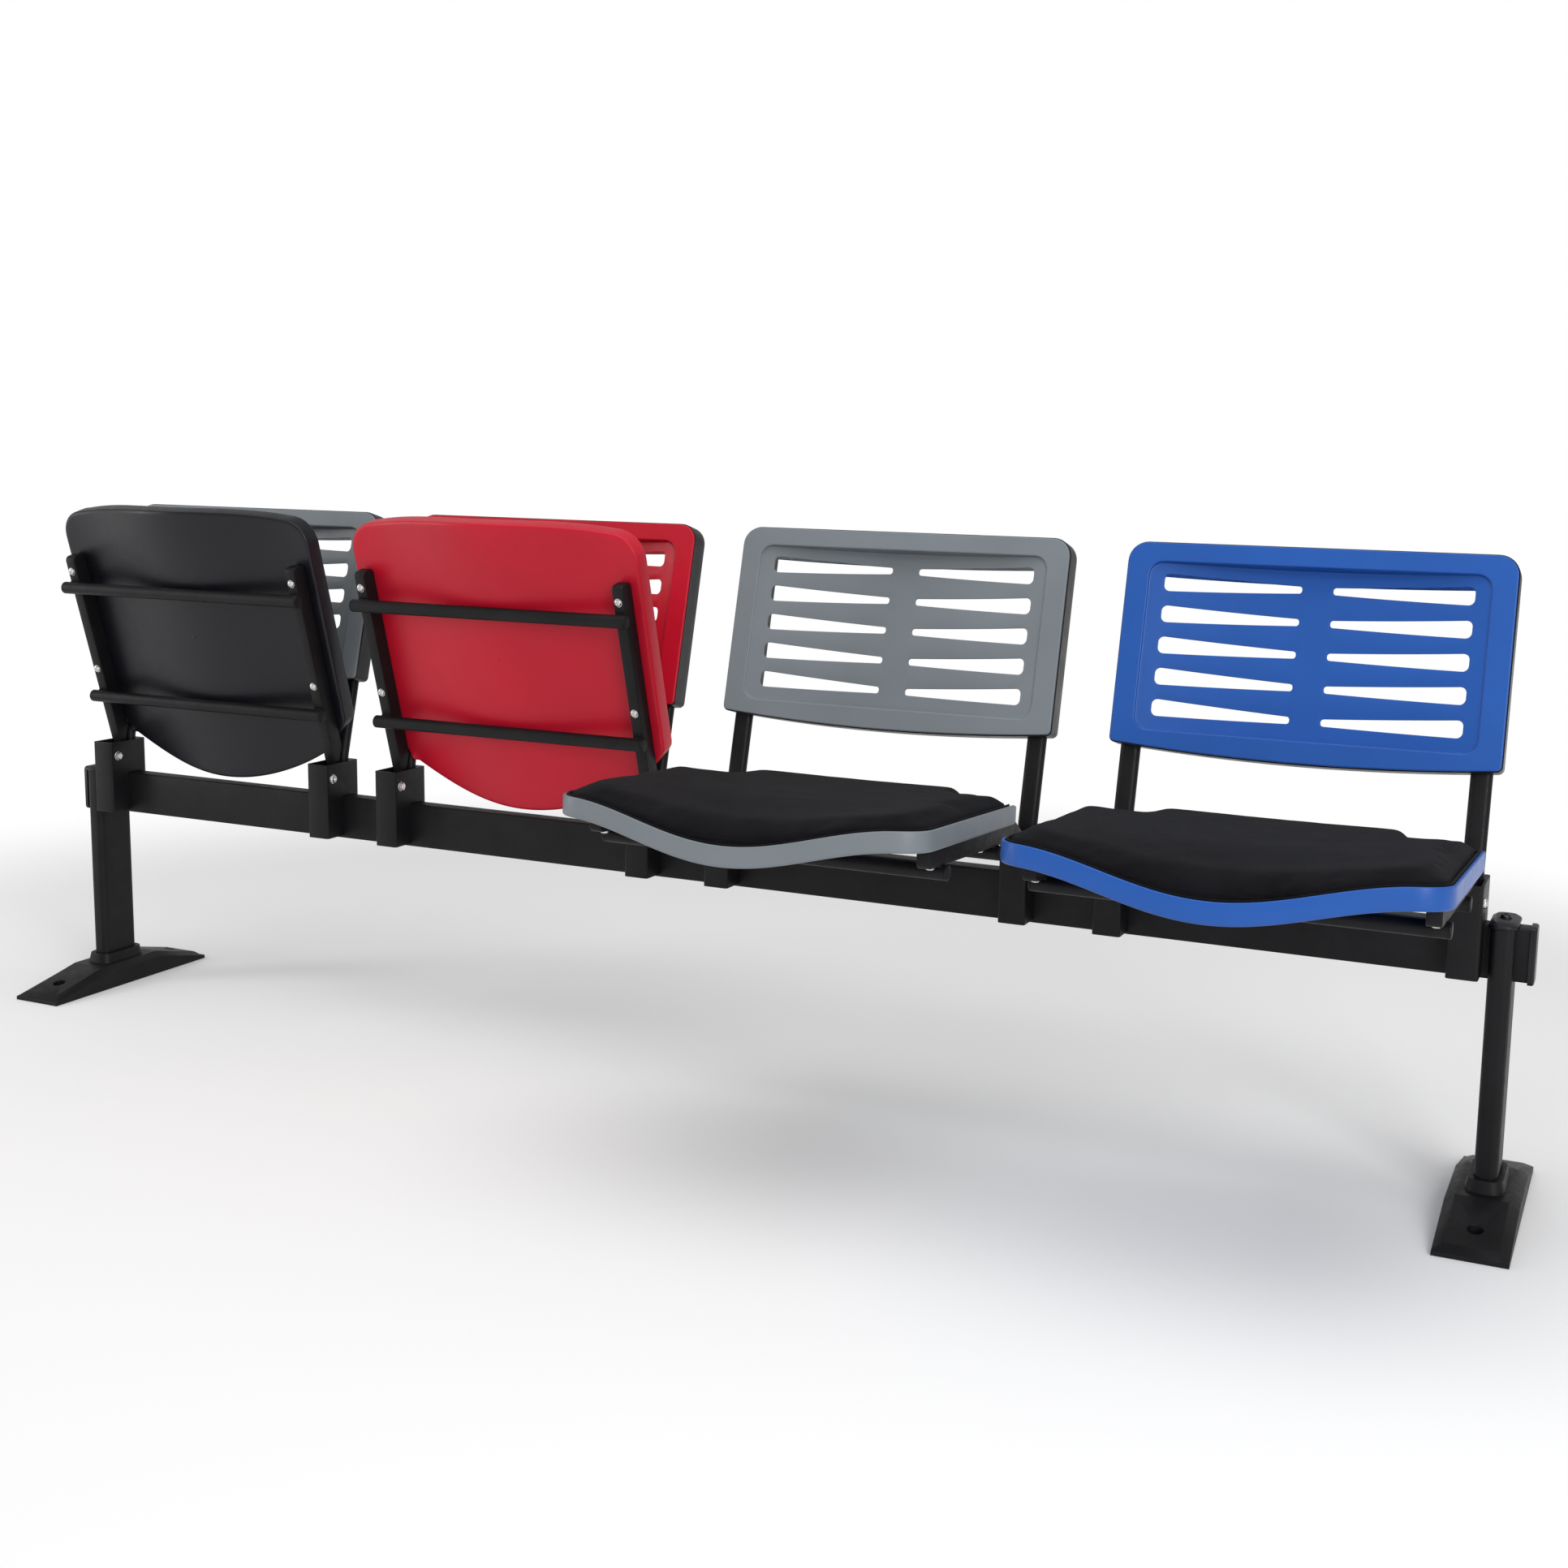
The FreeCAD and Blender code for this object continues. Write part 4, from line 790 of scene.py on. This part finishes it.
padForm = {"crownMiddle": 25, "crownSide": 13, "sideAt": 190, "fade": 44, "cut": 12, "base": 9,
           "voxel": 5.5, "pressure": 4.0, "mostMove": 5.0, "frames": 20, "inset": 4.6, "soften": 12,
           "middleReach": 215.0, "slope": 70, "gap": 1.2, "weltInset": 6.2, "weltRadius": 1.7}


def loopGap(points, loop):
    gaps = np.full(len(points), 1e9)
    for start in range(0, len(points), 400):
        part = points[start:start + 400]
        gaps[start:start + 400] = np.min(
            np.linalg.norm(part[:, None, :] - loop[None, :, :], axis=2), axis=1)
    return gaps


def padCrown(plan, loop):
    form = padForm
    share = np.clip(loopGap(plan, loop) / form["fade"], 0, 1)
    rise = np.power(1 - np.power(1 - share, 2.3), 1 / 2.0)
    full = form["crownMiddle"] + (form["crownSide"] - form["crownMiddle"]) * easeShare(
        np.abs(plan[:, 0]) / form["sideAt"])
    return underside(plan[:, 0], plan[:, 1]) + seatForm["band"] + full * rise


def simulateCushion(piece):
    # Swells the closed form with trapped air and caps how far each point may go.
    remesh = piece.modifiers.new("evenMesh", "REMESH")
    remesh.mode = "VOXEL"
    remesh.voxel_size = padForm["voxel"] / 1000
    remesh.use_smooth_shade = True
    bakeModifiers(piece)
    before = coordsOf(piece.data)
    cloth = piece.modifiers.new("cloth", "CLOTH")
    values = {"quality": 5, "mass": 0.3, "tension_stiffness": 15, "compression_stiffness": 15,
              "bending_stiffness": 0.6, "use_pressure": True,
              "uniform_pressure_force": padForm["pressure"]}
    for label, value in values.items():
        setattr(cloth.settings, label, value)
    cloth.settings.effector_weights.gravity = 0
    cloth.collision_settings.use_self_collision = False
    cloth.point_cache.frame_start = 1
    cloth.point_cache.frame_end = padForm["frames"]
    scene = bpy.context.scene
    for step in range(1, padForm["frames"] + 1):
        scene.frame_set(step)
    move = coordsOf(piece.evaluated_get(bpy.context.evaluated_depsgraph_get()).data) - before
    piece.modifiers.remove(cloth)
    scene.frame_set(1)
    size = np.linalg.norm(move, axis=1)
    limit = padForm["mostMove"] / 1000
    move *= (np.minimum(size, limit) / np.maximum(size, 1e-9))[:, None]
    setCoords(piece.data, before + move)


def makePad(number):
    form = padForm
    loop = seatLoop(form["cut"], form["inset"], form["soften"])
    normals = inwardNormals(loop)
    middle = np.array([0.0, form["middleReach"]])

    def planAt(inset):
        return loop + normals * inset

    def level(plan, rise):
        return np.column_stack([plan, underside(plan[:, 0], plan[:, 1]) + rise])

    base, band = form["base"], seatForm["band"]
    rings = [level(middle + (planAt(9) - middle) * share, base)
             for share in (0.05, 0.15, 0.28, 0.42, 0.56, 0.7, 0.83, 0.93)]
    for inset, rise in ((5, base), (2.0, base + 3), (1.4, band - 5), (1.4, band + 0.5)):
        rings.append(level(planAt(inset), rise))
    for inset in (1.2, 1.8, 3.2, 5.5, 9, 14, 20, 28, 37, 47):
        ring = level(planAt(inset), band + 1.5)
        ring[:, 2] = np.maximum(padCrown(ring[:, :2], loop), ring[:, 2])
        rings.append(ring)
    edge = planAt(47)
    for share in (0.93, 0.84, 0.73, 0.61, 0.48, 0.35, 0.22, 0.1):
        plan = middle + (edge - middle) * share
        rings.append(np.column_stack([plan, padCrown(plan, loop)]))
    for ring in rings:
        clearOfUprights(ring, form["slope"], 1.5)
    points, faces = loftRings(rings)
    piece = makePiece(f"pad{number}", seatPlace(points, number), faces, 80)
    simulateCushion(piece)
    keepClear(piece, number)
    finer = piece.modifiers.new("finer", "SUBSURF")
    finer.levels = finer.render_levels = 1
    bakeModifiers(piece)
    piece.data.shade_smooth()
    dress(piece, f"seat_{number}", "black_fabric", f"pad_{number}")
    return piece


def makeWelt(number):
    # A thin piping that closes the gap between the pad and the tray's rim.
    form = padForm
    loop = seatLoop(form["cut"], form["weltInset"], form["soften"])
    normals = inwardNormals(loop)
    level = underside(loop[:, 0], loop[:, 1]) + seatForm["band"] + 0.4
    line = clearOfUprights(np.column_stack([loop, level]), form["slope"], 3.2)
    rings = []
    for step in range(8):
        turn = 2 * math.pi * step / 8
        ring = line.copy()
        ring[:, :2] += normals * form["weltRadius"] * math.cos(turn)
        ring[:, 2] += form["weltRadius"] * math.sin(turn)
        rings.append(ring)
    points, faces = loftRings(rings + rings[:1], closeFirst=False, closeLast=False)
    piece = makePiece(f"padWelt{number}", seatPlace(points, number), faces, 80)
    return dress(piece, f"seat_{number}", "black_fabric")


seatColours = {1: "black_plastic", 2: "red_plastic", 3: "grey_plastic", 4: "blue_plastic"}
for number, slotName in seatColours.items():
    makeSeatShell(number, slotName)
    if number in (3, 4):
        makePad(number)
        makeWelt(number)
    else:
        makeTopPanel(number, slotName)
print("seats made")


# Backrests: the slotted panel in front and the dark frame behind it.

panelForm = {"halfWidth": back["halfWidth"], "height": 278, "topCorner": 26, "lowCorner": 6,
             "fieldHalf": 224, "fieldLow": 20, "fieldHigh": 250, "fieldCorner": 18, "step": 4,
             "depth": 30, "skin": 3, "thick": 4, "rows": 5, "slotOuter": 206, "slotInner": 20,
             "outerHeight": 24, "innerHeight": 9.5, "firstOuter": 50.5, "outerPitch": 43.4,
             "firstInner": 48, "innerPitch": 44.5, "edgeRound": 1.6, "rimRound": 2.1,
             "wallSet": 1.6, "slotRound": 0.8, "outerEndRound": 9, "innerEndRound": 4.6}


def dishDepth(x):
    form = panelForm
    sagitta = form["depth"] - form["step"]
    radius = (form["fieldHalf"] ** 2 + sagitta ** 2) / (2 * sagitta)
    return form["depth"] - radius + np.sqrt(radius ** 2 - np.asarray(x, float) ** 2)


def slotEdges(x):
    # Lower and upper edge of every slot at one distance from the middle.
    form = panelForm
    x = abs(x)
    share = (x - form["slotInner"]) / (form["slotOuter"] - form["slotInner"])
    height = form["innerHeight"] + (form["outerHeight"] - form["innerHeight"]) * share
    half = height / 2 + form["slotRound"]
    outerGap = form["slotOuter"] - x
    innerGap = x - form["slotInner"]
    big, small = form["outerEndRound"], form["innerEndRound"]
    if outerGap < big:
        half -= big - math.sqrt(max(0, big ** 2 - (big - outerGap) ** 2))
    if innerGap < small:
        half -= small - math.sqrt(max(0, small ** 2 - (small - innerGap) ** 2))
    half = max(half, 0.05)
    edges = []
    for row in range(form["rows"]):
        outer = form["firstOuter"] + form["outerPitch"] * row
        inner = form["firstInner"] + form["innerPitch"] * row
        middle = inner + (outer - inner) * share
        edges += [middle - half, middle + half]
    return edges


def fieldLattice():
    # Columns and rows of the dished field. Rows follow the slots' edges, corners are rounded.
    form = panelForm
    inner, outer = form["slotInner"], form["slotOuter"]
    half = [0, 7, 14, inner, inner + 0.15, inner + 0.6, inner + 1.4, inner + 2.8, inner + 4.6, 33,
            42, 56, 72, 90, 108, 126, 144, 160, 175, 187, outer - 12, outer - 9, outer - 6.4,
            outer - 4.2, outer - 2.6, outer - 1.3, outer - 0.5, outer - 0.1, outer]
    corner = [outer + (form["fieldHalf"] - outer) * step / 5 for step in range(1, 6)]
    columns = [-x for x in reversed(half[1:] + corner)] + half + corner
    low, high = form["fieldLow"], form["fieldHigh"]
    radius = form["fieldCorner"]
    grid = []
    for x in columns:
        edges = slotEdges(max(min(abs(x), outer), inner))
        levels = [low + radius * step / 5 for step in range(6)]
        for under, over in zip(edges[::2], edges[1::2]):
            levels += [(levels[-1] + under) / 2, under, (under + over) / 2, over]
        top = high - radius
        levels.append((levels[-1] + top) / 2)
        levels += [top + radius * step / 5 for step in range(6)]
        grid.append([(x, level) for level in levels])
    grid = np.array(grid, float)
    count, tall = grid.shape[:2]
    for sideX in (-1, 1):
        for end in (-1, 1):
            centre = np.array([sideX * outer, (low + radius) if end < 0 else (high - radius)])
            for i, j in np.ndindex(count, tall):
                over, up = (grid[i, j] - centre) * (sideX, end) / radius
                if over > 1e-6 and up > 1e-6:
                    shrink = max(over, up) / math.hypot(over, up)
                    grid[i, j] = centre + np.array([sideX * over, end * up]) * shrink * radius
    return np.array(columns), grid


def borderOf(count, tall):
    # Lattice places round the field, in order.
    border = [(i, 0) for i in range(count)]
    border += [(count - 1, j) for j in range(1, tall)]
    border += [(i, tall - 1) for i in range(count - 2, -1, -1)]
    border += [(0, j) for j in range(tall - 2, 0, -1)]
    return border


def panelOutline(boundary, grow=0.0):
    # The outer edge point that belongs to each point around the field.
    form = panelForm
    half, high, low = form["halfWidth"] + grow, form["height"] + grow, -grow
    fieldMiddle = (form["fieldLow"] + form["fieldHigh"]) / 2
    outline = []
    for x, level in boundary:
        sideX = 1 if x >= 0 else -1
        top = level > fieldMiddle
        inX = form["slotOuter"]
        inset = form["fieldCorner"]
        inLevel = form["fieldHigh"] - inset if top else form["fieldLow"] + inset
        radius = (form["topCorner"] if top else form["lowCorner"]) + grow
        cornerX = half - radius
        cornerLevel = high - radius if top else low + radius
        overX, overLevel = abs(x) - inX, (level - inLevel) if top else (inLevel - level)
        if overX > 1e-6 and overLevel > 1e-6:
            turn = math.atan2(overLevel, overX)
            outX = cornerX + radius * math.cos(turn)
            outLevel = cornerLevel + (radius if top else -radius) * math.sin(turn)
        elif overX > 1e-6:
            share = (level - fieldMiddle) / (inLevel - fieldMiddle)
            outX, outLevel = half, fieldMiddle + share * (cornerLevel - fieldMiddle)
        else:
            outX = abs(x) / inX * cornerX
            outLevel = high if top else low
        if not top:
            outLevel -= back["bow"] * (1 - (outX / half) ** 2)
        outline.append((sideX * outX, outLevel))
    return np.array(outline)


def panelRings(boundary, borderDepth):
    # From the field's rim over the flange, round its edge and back to the field from behind.
    form = panelForm
    outer = panelOutline(boundary)
    fieldOut = -inwardNormals(boundary)
    outIn = inwardNormals(outer)
    level = np.ones(len(boundary))
    rim, wall, lip = form["rimRound"], form["wallSet"], form["edgeRound"]
    rings = [(boundary + fieldOut * rim * math.sin(turn), borderDepth - rim * (1 - math.cos(turn)))
             for turn in arcRows()[1:]]
    rings += [(boundary + fieldOut * (wall + rim * (1 - math.cos(turn))),
               level * rim * (1 - math.sin(turn))) for turn in arcRows(4)]
    near = boundary + fieldOut * (wall + rim + 0.5)
    far = outer + outIn * (lip + 0.5)
    rings += [(near + (far - near) * share, 0 * level) for share in (0, 0.35, 0.7, 1)]
    rings += [(outer + outIn * lip * (1 - math.sin(turn)), level * lip * (1 - math.cos(turn)))
              for turn in arcRows(4)]
    rings.append((outer, level * (form["thick"] - 0.4)))
    rings.append((outer + outIn * 0.4, level * form["thick"]))
    behind = wall + form["skin"]
    rings.append((boundary + fieldOut * (behind + 0.5), level * form["thick"]))
    rings.append((boundary + fieldOut * behind, level * form["thick"] + 0.4))
    deep = borderDepth + form["skin"]
    rings.append((boundary + fieldOut * behind, np.maximum(deep - 1.5, form["thick"] + 0.6)))
    rings.append((boundary + fieldOut * (behind - 1.2), deep - 0.3))
    rings.append((boundary + fieldOut * 1.5, deep))
    return rings


def slotLoops(columns, tall):
    # Lattice points round every slot, in order.
    form = panelForm
    loops = []
    for side in (-1, 1):
        across = [i for i, x in enumerate(columns)
                  if form["slotInner"] - 0.01 <= side * x <= form["slotOuter"] + 0.01]
        for row in range(form["rows"]):
            low = 7 + 4 * row
            loop = [i * tall + low for i in across]
            loop += [across[-1] * tall + low + 1]
            loop += [i * tall + low + 2 for i in reversed(across)]
            loop += [across[0] * tall + low + 1]
            loops.append(loop)
    return loops


def makePanel(number, slotName):
    form = panelForm
    columns, grid = fieldLattice()
    count, tall = grid.shape[:2]
    plan = grid.reshape(-1, 2)
    depth = dishDepth(plan[:, 0])
    points = [(x, n, level) for skin in (0, form["skin"])
              for (x, level), n in zip(plan, depth + skin)]
    lattice = count * tall
    faces = []
    for i in range(count - 1):
        middleX = abs(columns[i] + columns[i + 1]) / 2
        slotted = form["slotInner"] < middleX < form["slotOuter"]
        for j in range(tall - 1):
            # Above the low corner's rows, each slot takes the second and third of every four.
            band = j - 6
            if slotted and 0 <= band < 4 * form["rows"] and band % 4 in (1, 2):
                continue
            cell = (i * tall + j, (i + 1) * tall + j, (i + 1) * tall + j + 1, i * tall + j + 1)
            faces.append(cell)
            faces.append(tuple(lattice + k for k in reversed(cell)))

    def strip(first, rings, last):
        # Joins two lines of lattice points by rings between them.
        lines = [first]
        for ringPlan, depths in rings:
            lines.append(list(range(len(points), len(points) + len(ringPlan))))
            points.extend((x, n, level) for (x, level), n in zip(ringPlan, depths))
        for low, high in zip(lines, lines[1:] + [last]):
            for k in range(len(low)):
                after = (k + 1) % len(low)
                faces.append((low[k], high[k], high[after], low[after]))

    border = [i * tall + j for i, j in borderOf(count, tall)]
    strip(border, panelRings(plan[border], depth[border]), [lattice + k for k in border])
    soft = form["slotRound"]
    for loop in slotLoops(columns, tall):
        edge, inward, rim = plan[loop], inwardNormals(plan[loop]), depth[loop]
        rings = [(edge + inward * soft * math.sin(turn), rim + soft * (1 - math.cos(turn)))
                 for turn in arcRows()[1:]]
        rings += [(ringPlan, 2 * rim + form["skin"] - level) for ringPlan, level in reversed(rings)]
        strip(loop, rings, [lattice + k for k in loop])
    piece = makePiece(f"backPanel{number}", backPlace(points, number), faces, 40)
    return dress(piece, "frame", slotName, f"back_panel_{number}")


shellForm = {"grow": 1.5, "front": 4, "rear": 38, "wall": 2.8, "edge": 6, "windowHalf": 213,
             "windowLow": 14.5, "windowHigh": 255.5, "windowEdge": 3.0}


def windowPoint(x, height):
    # The window edge point that belongs to a point around the field.
    form, window = panelForm, shellForm
    share = (height - form["fieldLow"]) / (form["fieldHigh"] - form["fieldLow"])
    low, high = window["windowLow"], window["windowHigh"]
    return x * window["windowHalf"] / form["fieldHalf"], low + share * (high - low)


def makeBackShell(number):
    form = shellForm
    grid = fieldLattice()[1]
    boundary = np.array([grid[place] for place in borderOf(*grid.shape[:2])])
    outer = panelOutline(boundary, form["grow"])
    inward = inwardNormals(outer)
    window = np.array([windowPoint(x, height) for x, height in boundary])
    windowOut = -inwardNormals(window)
    rear, edge, lip = form["rear"], form["edge"], form["windowEdge"]
    room = float(dishDepth(form["windowHalf"])) + panelForm["skin"] + 1.0
    rings = [(window, room), (window, rear - lip - 1)]
    for turn in arcRows(4)[1:]:
        rings.append((window + windowOut * lip * (1 - math.cos(turn)),
                      rear - lip + lip * math.sin(turn)))
    halfway = (window + windowOut * lip) * 0.5 + (outer + inward * edge) * 0.5
    rings.append((halfway, rear))
    for turn in arcRows(6):
        rings.append((outer + inward * (edge * (1 - math.sin(turn))),
                      rear - edge * (1 - math.cos(turn))))
    rings += [(outer, rear * 0.5), (outer, form["front"] + 0.9)]
    rings.append((outer + inward * 0.9, form["front"] + 0.1))
    rings = [np.column_stack([plan[:, 0], np.full(len(plan), level), plan[:, 1]])
             for plan, level in rings]
    points, faces = loftRings(rings, closeFirst=False, closeLast=False)
    piece = makePiece(f"backShell{number}", points, faces, 40)
    work = bmesh.new()
    work.from_mesh(piece.data)
    rearFaces = [face for face in work.faces if face.calc_center_median().y * 1000 > rear - 0.2]
    if sum(face.normal.y for face in rearFaces) < 0:
        bmesh.ops.reverse_faces(work, faces=work.faces)
    work.to_mesh(piece.data)
    work.free()
    solid = piece.modifiers.new("wall", "SOLIDIFY")
    solid.thickness = form["wall"] / 1000
    solid.offset = -1
    bakeModifiers(piece)
    setCoords(piece.data, backPlace(coordsOf(piece.data) * 1000, number) / 1000)
    smoothTo(piece.data, 45)
    return dress(piece, "frame", "black_plastic", f"back_shell_{number}")


panelColours = {1: "grey_plastic", 2: "red_plastic", 3: "grey_plastic", 4: "blue_plastic"}
for number, slotName in panelColours.items():
    makePanel(number, slotName)
    makeBackShell(number)
print("backrests made")


# Room, light and camera.

studio = {"floorHalf": 9.0, "floorColour": 0.8, "worldLight": 0.48, "nearFloor": 1.75,
          "farFloor": 2.7}


def makeFloor():
    # The floor takes the bench's shadow near it and turns to plain white further out.
    half = studio["floorHalf"]
    mesh = bpy.data.meshes.new("studioFloor")
    mesh.from_pydata([(-half, -half, 0), (half, -half, 0), (half, half, 0), (-half, half, 0)], [],
                     [(0, 1, 2, 3)])
    floor = newObject("studioFloor", mesh)
    material, tree, shader, place = newMaterial("paleFloor")
    tone, whiteColour = studio["floorColour"], (1, 1, 1, 1)
    seen = seenBy(tree, ("Is Camera Ray", "Is Glossy Ray", "Is Transmission Ray"))
    plain = tintBetween(tree, noiseOn(tree, place, 3, 2), (tone - 0.01,) * 3, (tone,) * 3)
    bright = addNode(tree, "ShaderNodeMix", {"Factor": seen, "A": plain, "B": whiteColour},
                     data_type="RGBA").outputs["Result"]
    fillInputs(tree, shader, {"Base Color": bright, "Roughness": 0.9, "Specular IOR Level": 0.05})
    distance = addNode(tree, "ShaderNodeVectorMath", {0: place}, operation="LENGTH")
    fade = addNode(tree, "ShaderNodeMapRange", {
        "Value": distance.outputs["Value"], "From Min": studio["nearFloor"],
        "From Max": studio["farFloor"]}, interpolation_type="SMOOTHSTEP").outputs["Result"]
    both = addNode(tree, "ShaderNodeMath", {0: fade, 1: seen}, operation="MULTIPLY").outputs[0]
    white = addNode(tree, "ShaderNodeEmission", {"Color": whiteColour, "Strength": 1}).outputs[0]
    mixed = addNode(tree, "ShaderNodeMixShader", {0: both, 1: shader.outputs[0], 2: white})
    fillInputs(tree, tree.nodes["Material Output"], {"Surface": mixed.outputs[0]})
    mesh.materials.append(material)


def seenBy(tree, kinds):
    # 1 for rays of these kinds and 0 for the others.
    path = tree.nodes.new("ShaderNodeLightPath")
    total = path.outputs[kinds[0]]
    for kind in kinds[1:]:
        total = addNode(tree, "ShaderNodeMath", {0: total, 1: path.outputs[kind]}, operation="ADD",
                        use_clamp=True).outputs[0]
    return total


def lightWorld():
    world = bpy.data.worlds.new("softRoom")
    bpy.context.scene.world = world
    world.use_nodes = True
    tree = world.node_tree
    seen = seenBy(tree, ("Is Camera Ray", "Is Transmission Ray"))
    strength = addNode(tree, "ShaderNodeMapRange", {
        "Value": seen, "To Min": studio["worldLight"], "To Max": 1.0}).outputs["Result"]
    fillInputs(tree, tree.nodes["Background"], {"Color": (1, 1, 1, 1), "Strength": strength})


def areaLight(name, place, aim, size, power):
    data = bpy.data.lights.new(name, "AREA")
    data.shape = "RECTANGLE"
    data.size, data.size_y = size
    data.energy = power
    lamp = newObject(name, data)
    lamp.location = place
    lamp.rotation_euler = (Vector(aim) - Vector(place)).to_track_quat("-Z", "Y").to_euler()


# Each lamp: its place, what it points at, its width and height, all in metres, and its power.
lamps = {"topSoftBox": ((0.3, -0.6, 3.6), (0, 0.1, 0.5), (3.6, 2.4), 46),
         "rightSoftBox": ((3.0, -2.8, 1.8), (0.3, 0, 0.6), (1.6, 2.2), 72),
         "leftSoftBox": ((-3.4, -1.5, 1.3), (-0.3, 0, 0.6), (0.8, 2.2), 26)}

makeFloor()
lightWorld()
for name, values in lamps.items():
    areaLight(name, *values)

# The camera, in millimetres and degrees, as solved from the perspective.
view = {"place": (1364.3, -2465.05, 964.5), "yaw": 23.803, "pitch": -8.507, "roll": 1.070,
        "lens": 43.42, "shift": (-0.0468, -0.0336)}


def makeCamera():
    yaw, pitch, roll = (math.radians(view[key]) for key in ("yaw", "pitch", "roll"))
    forward = Vector((-math.sin(yaw) * math.cos(pitch), math.cos(yaw) * math.cos(pitch),
                      math.sin(pitch)))
    right = Vector((math.cos(yaw), math.sin(yaw), 0))
    up = right.cross(forward)
    turnedRight = right * math.cos(roll) + up * math.sin(roll)
    turnedUp = up * math.cos(roll) - right * math.sin(roll)
    data = bpy.data.cameras.new("photoCamera")
    camera = newObject("photoCamera", data)
    x, y, z = view["place"]
    place = Vector((x, y + bench["setBack"], z)) / 1000
    axes = Matrix((turnedRight, turnedUp, -forward)).transposed().to_4x4()
    camera.matrix_world = Matrix.Translation(place) @ axes
    data.sensor_width = 36
    data.lens = view["lens"]
    data.shift_x, data.shift_y = view["shift"]
    bpy.context.scene.camera = camera


makeCamera()
bpy.context.scene.view_settings.view_transform = "Standard"
print("room, light and camera made")
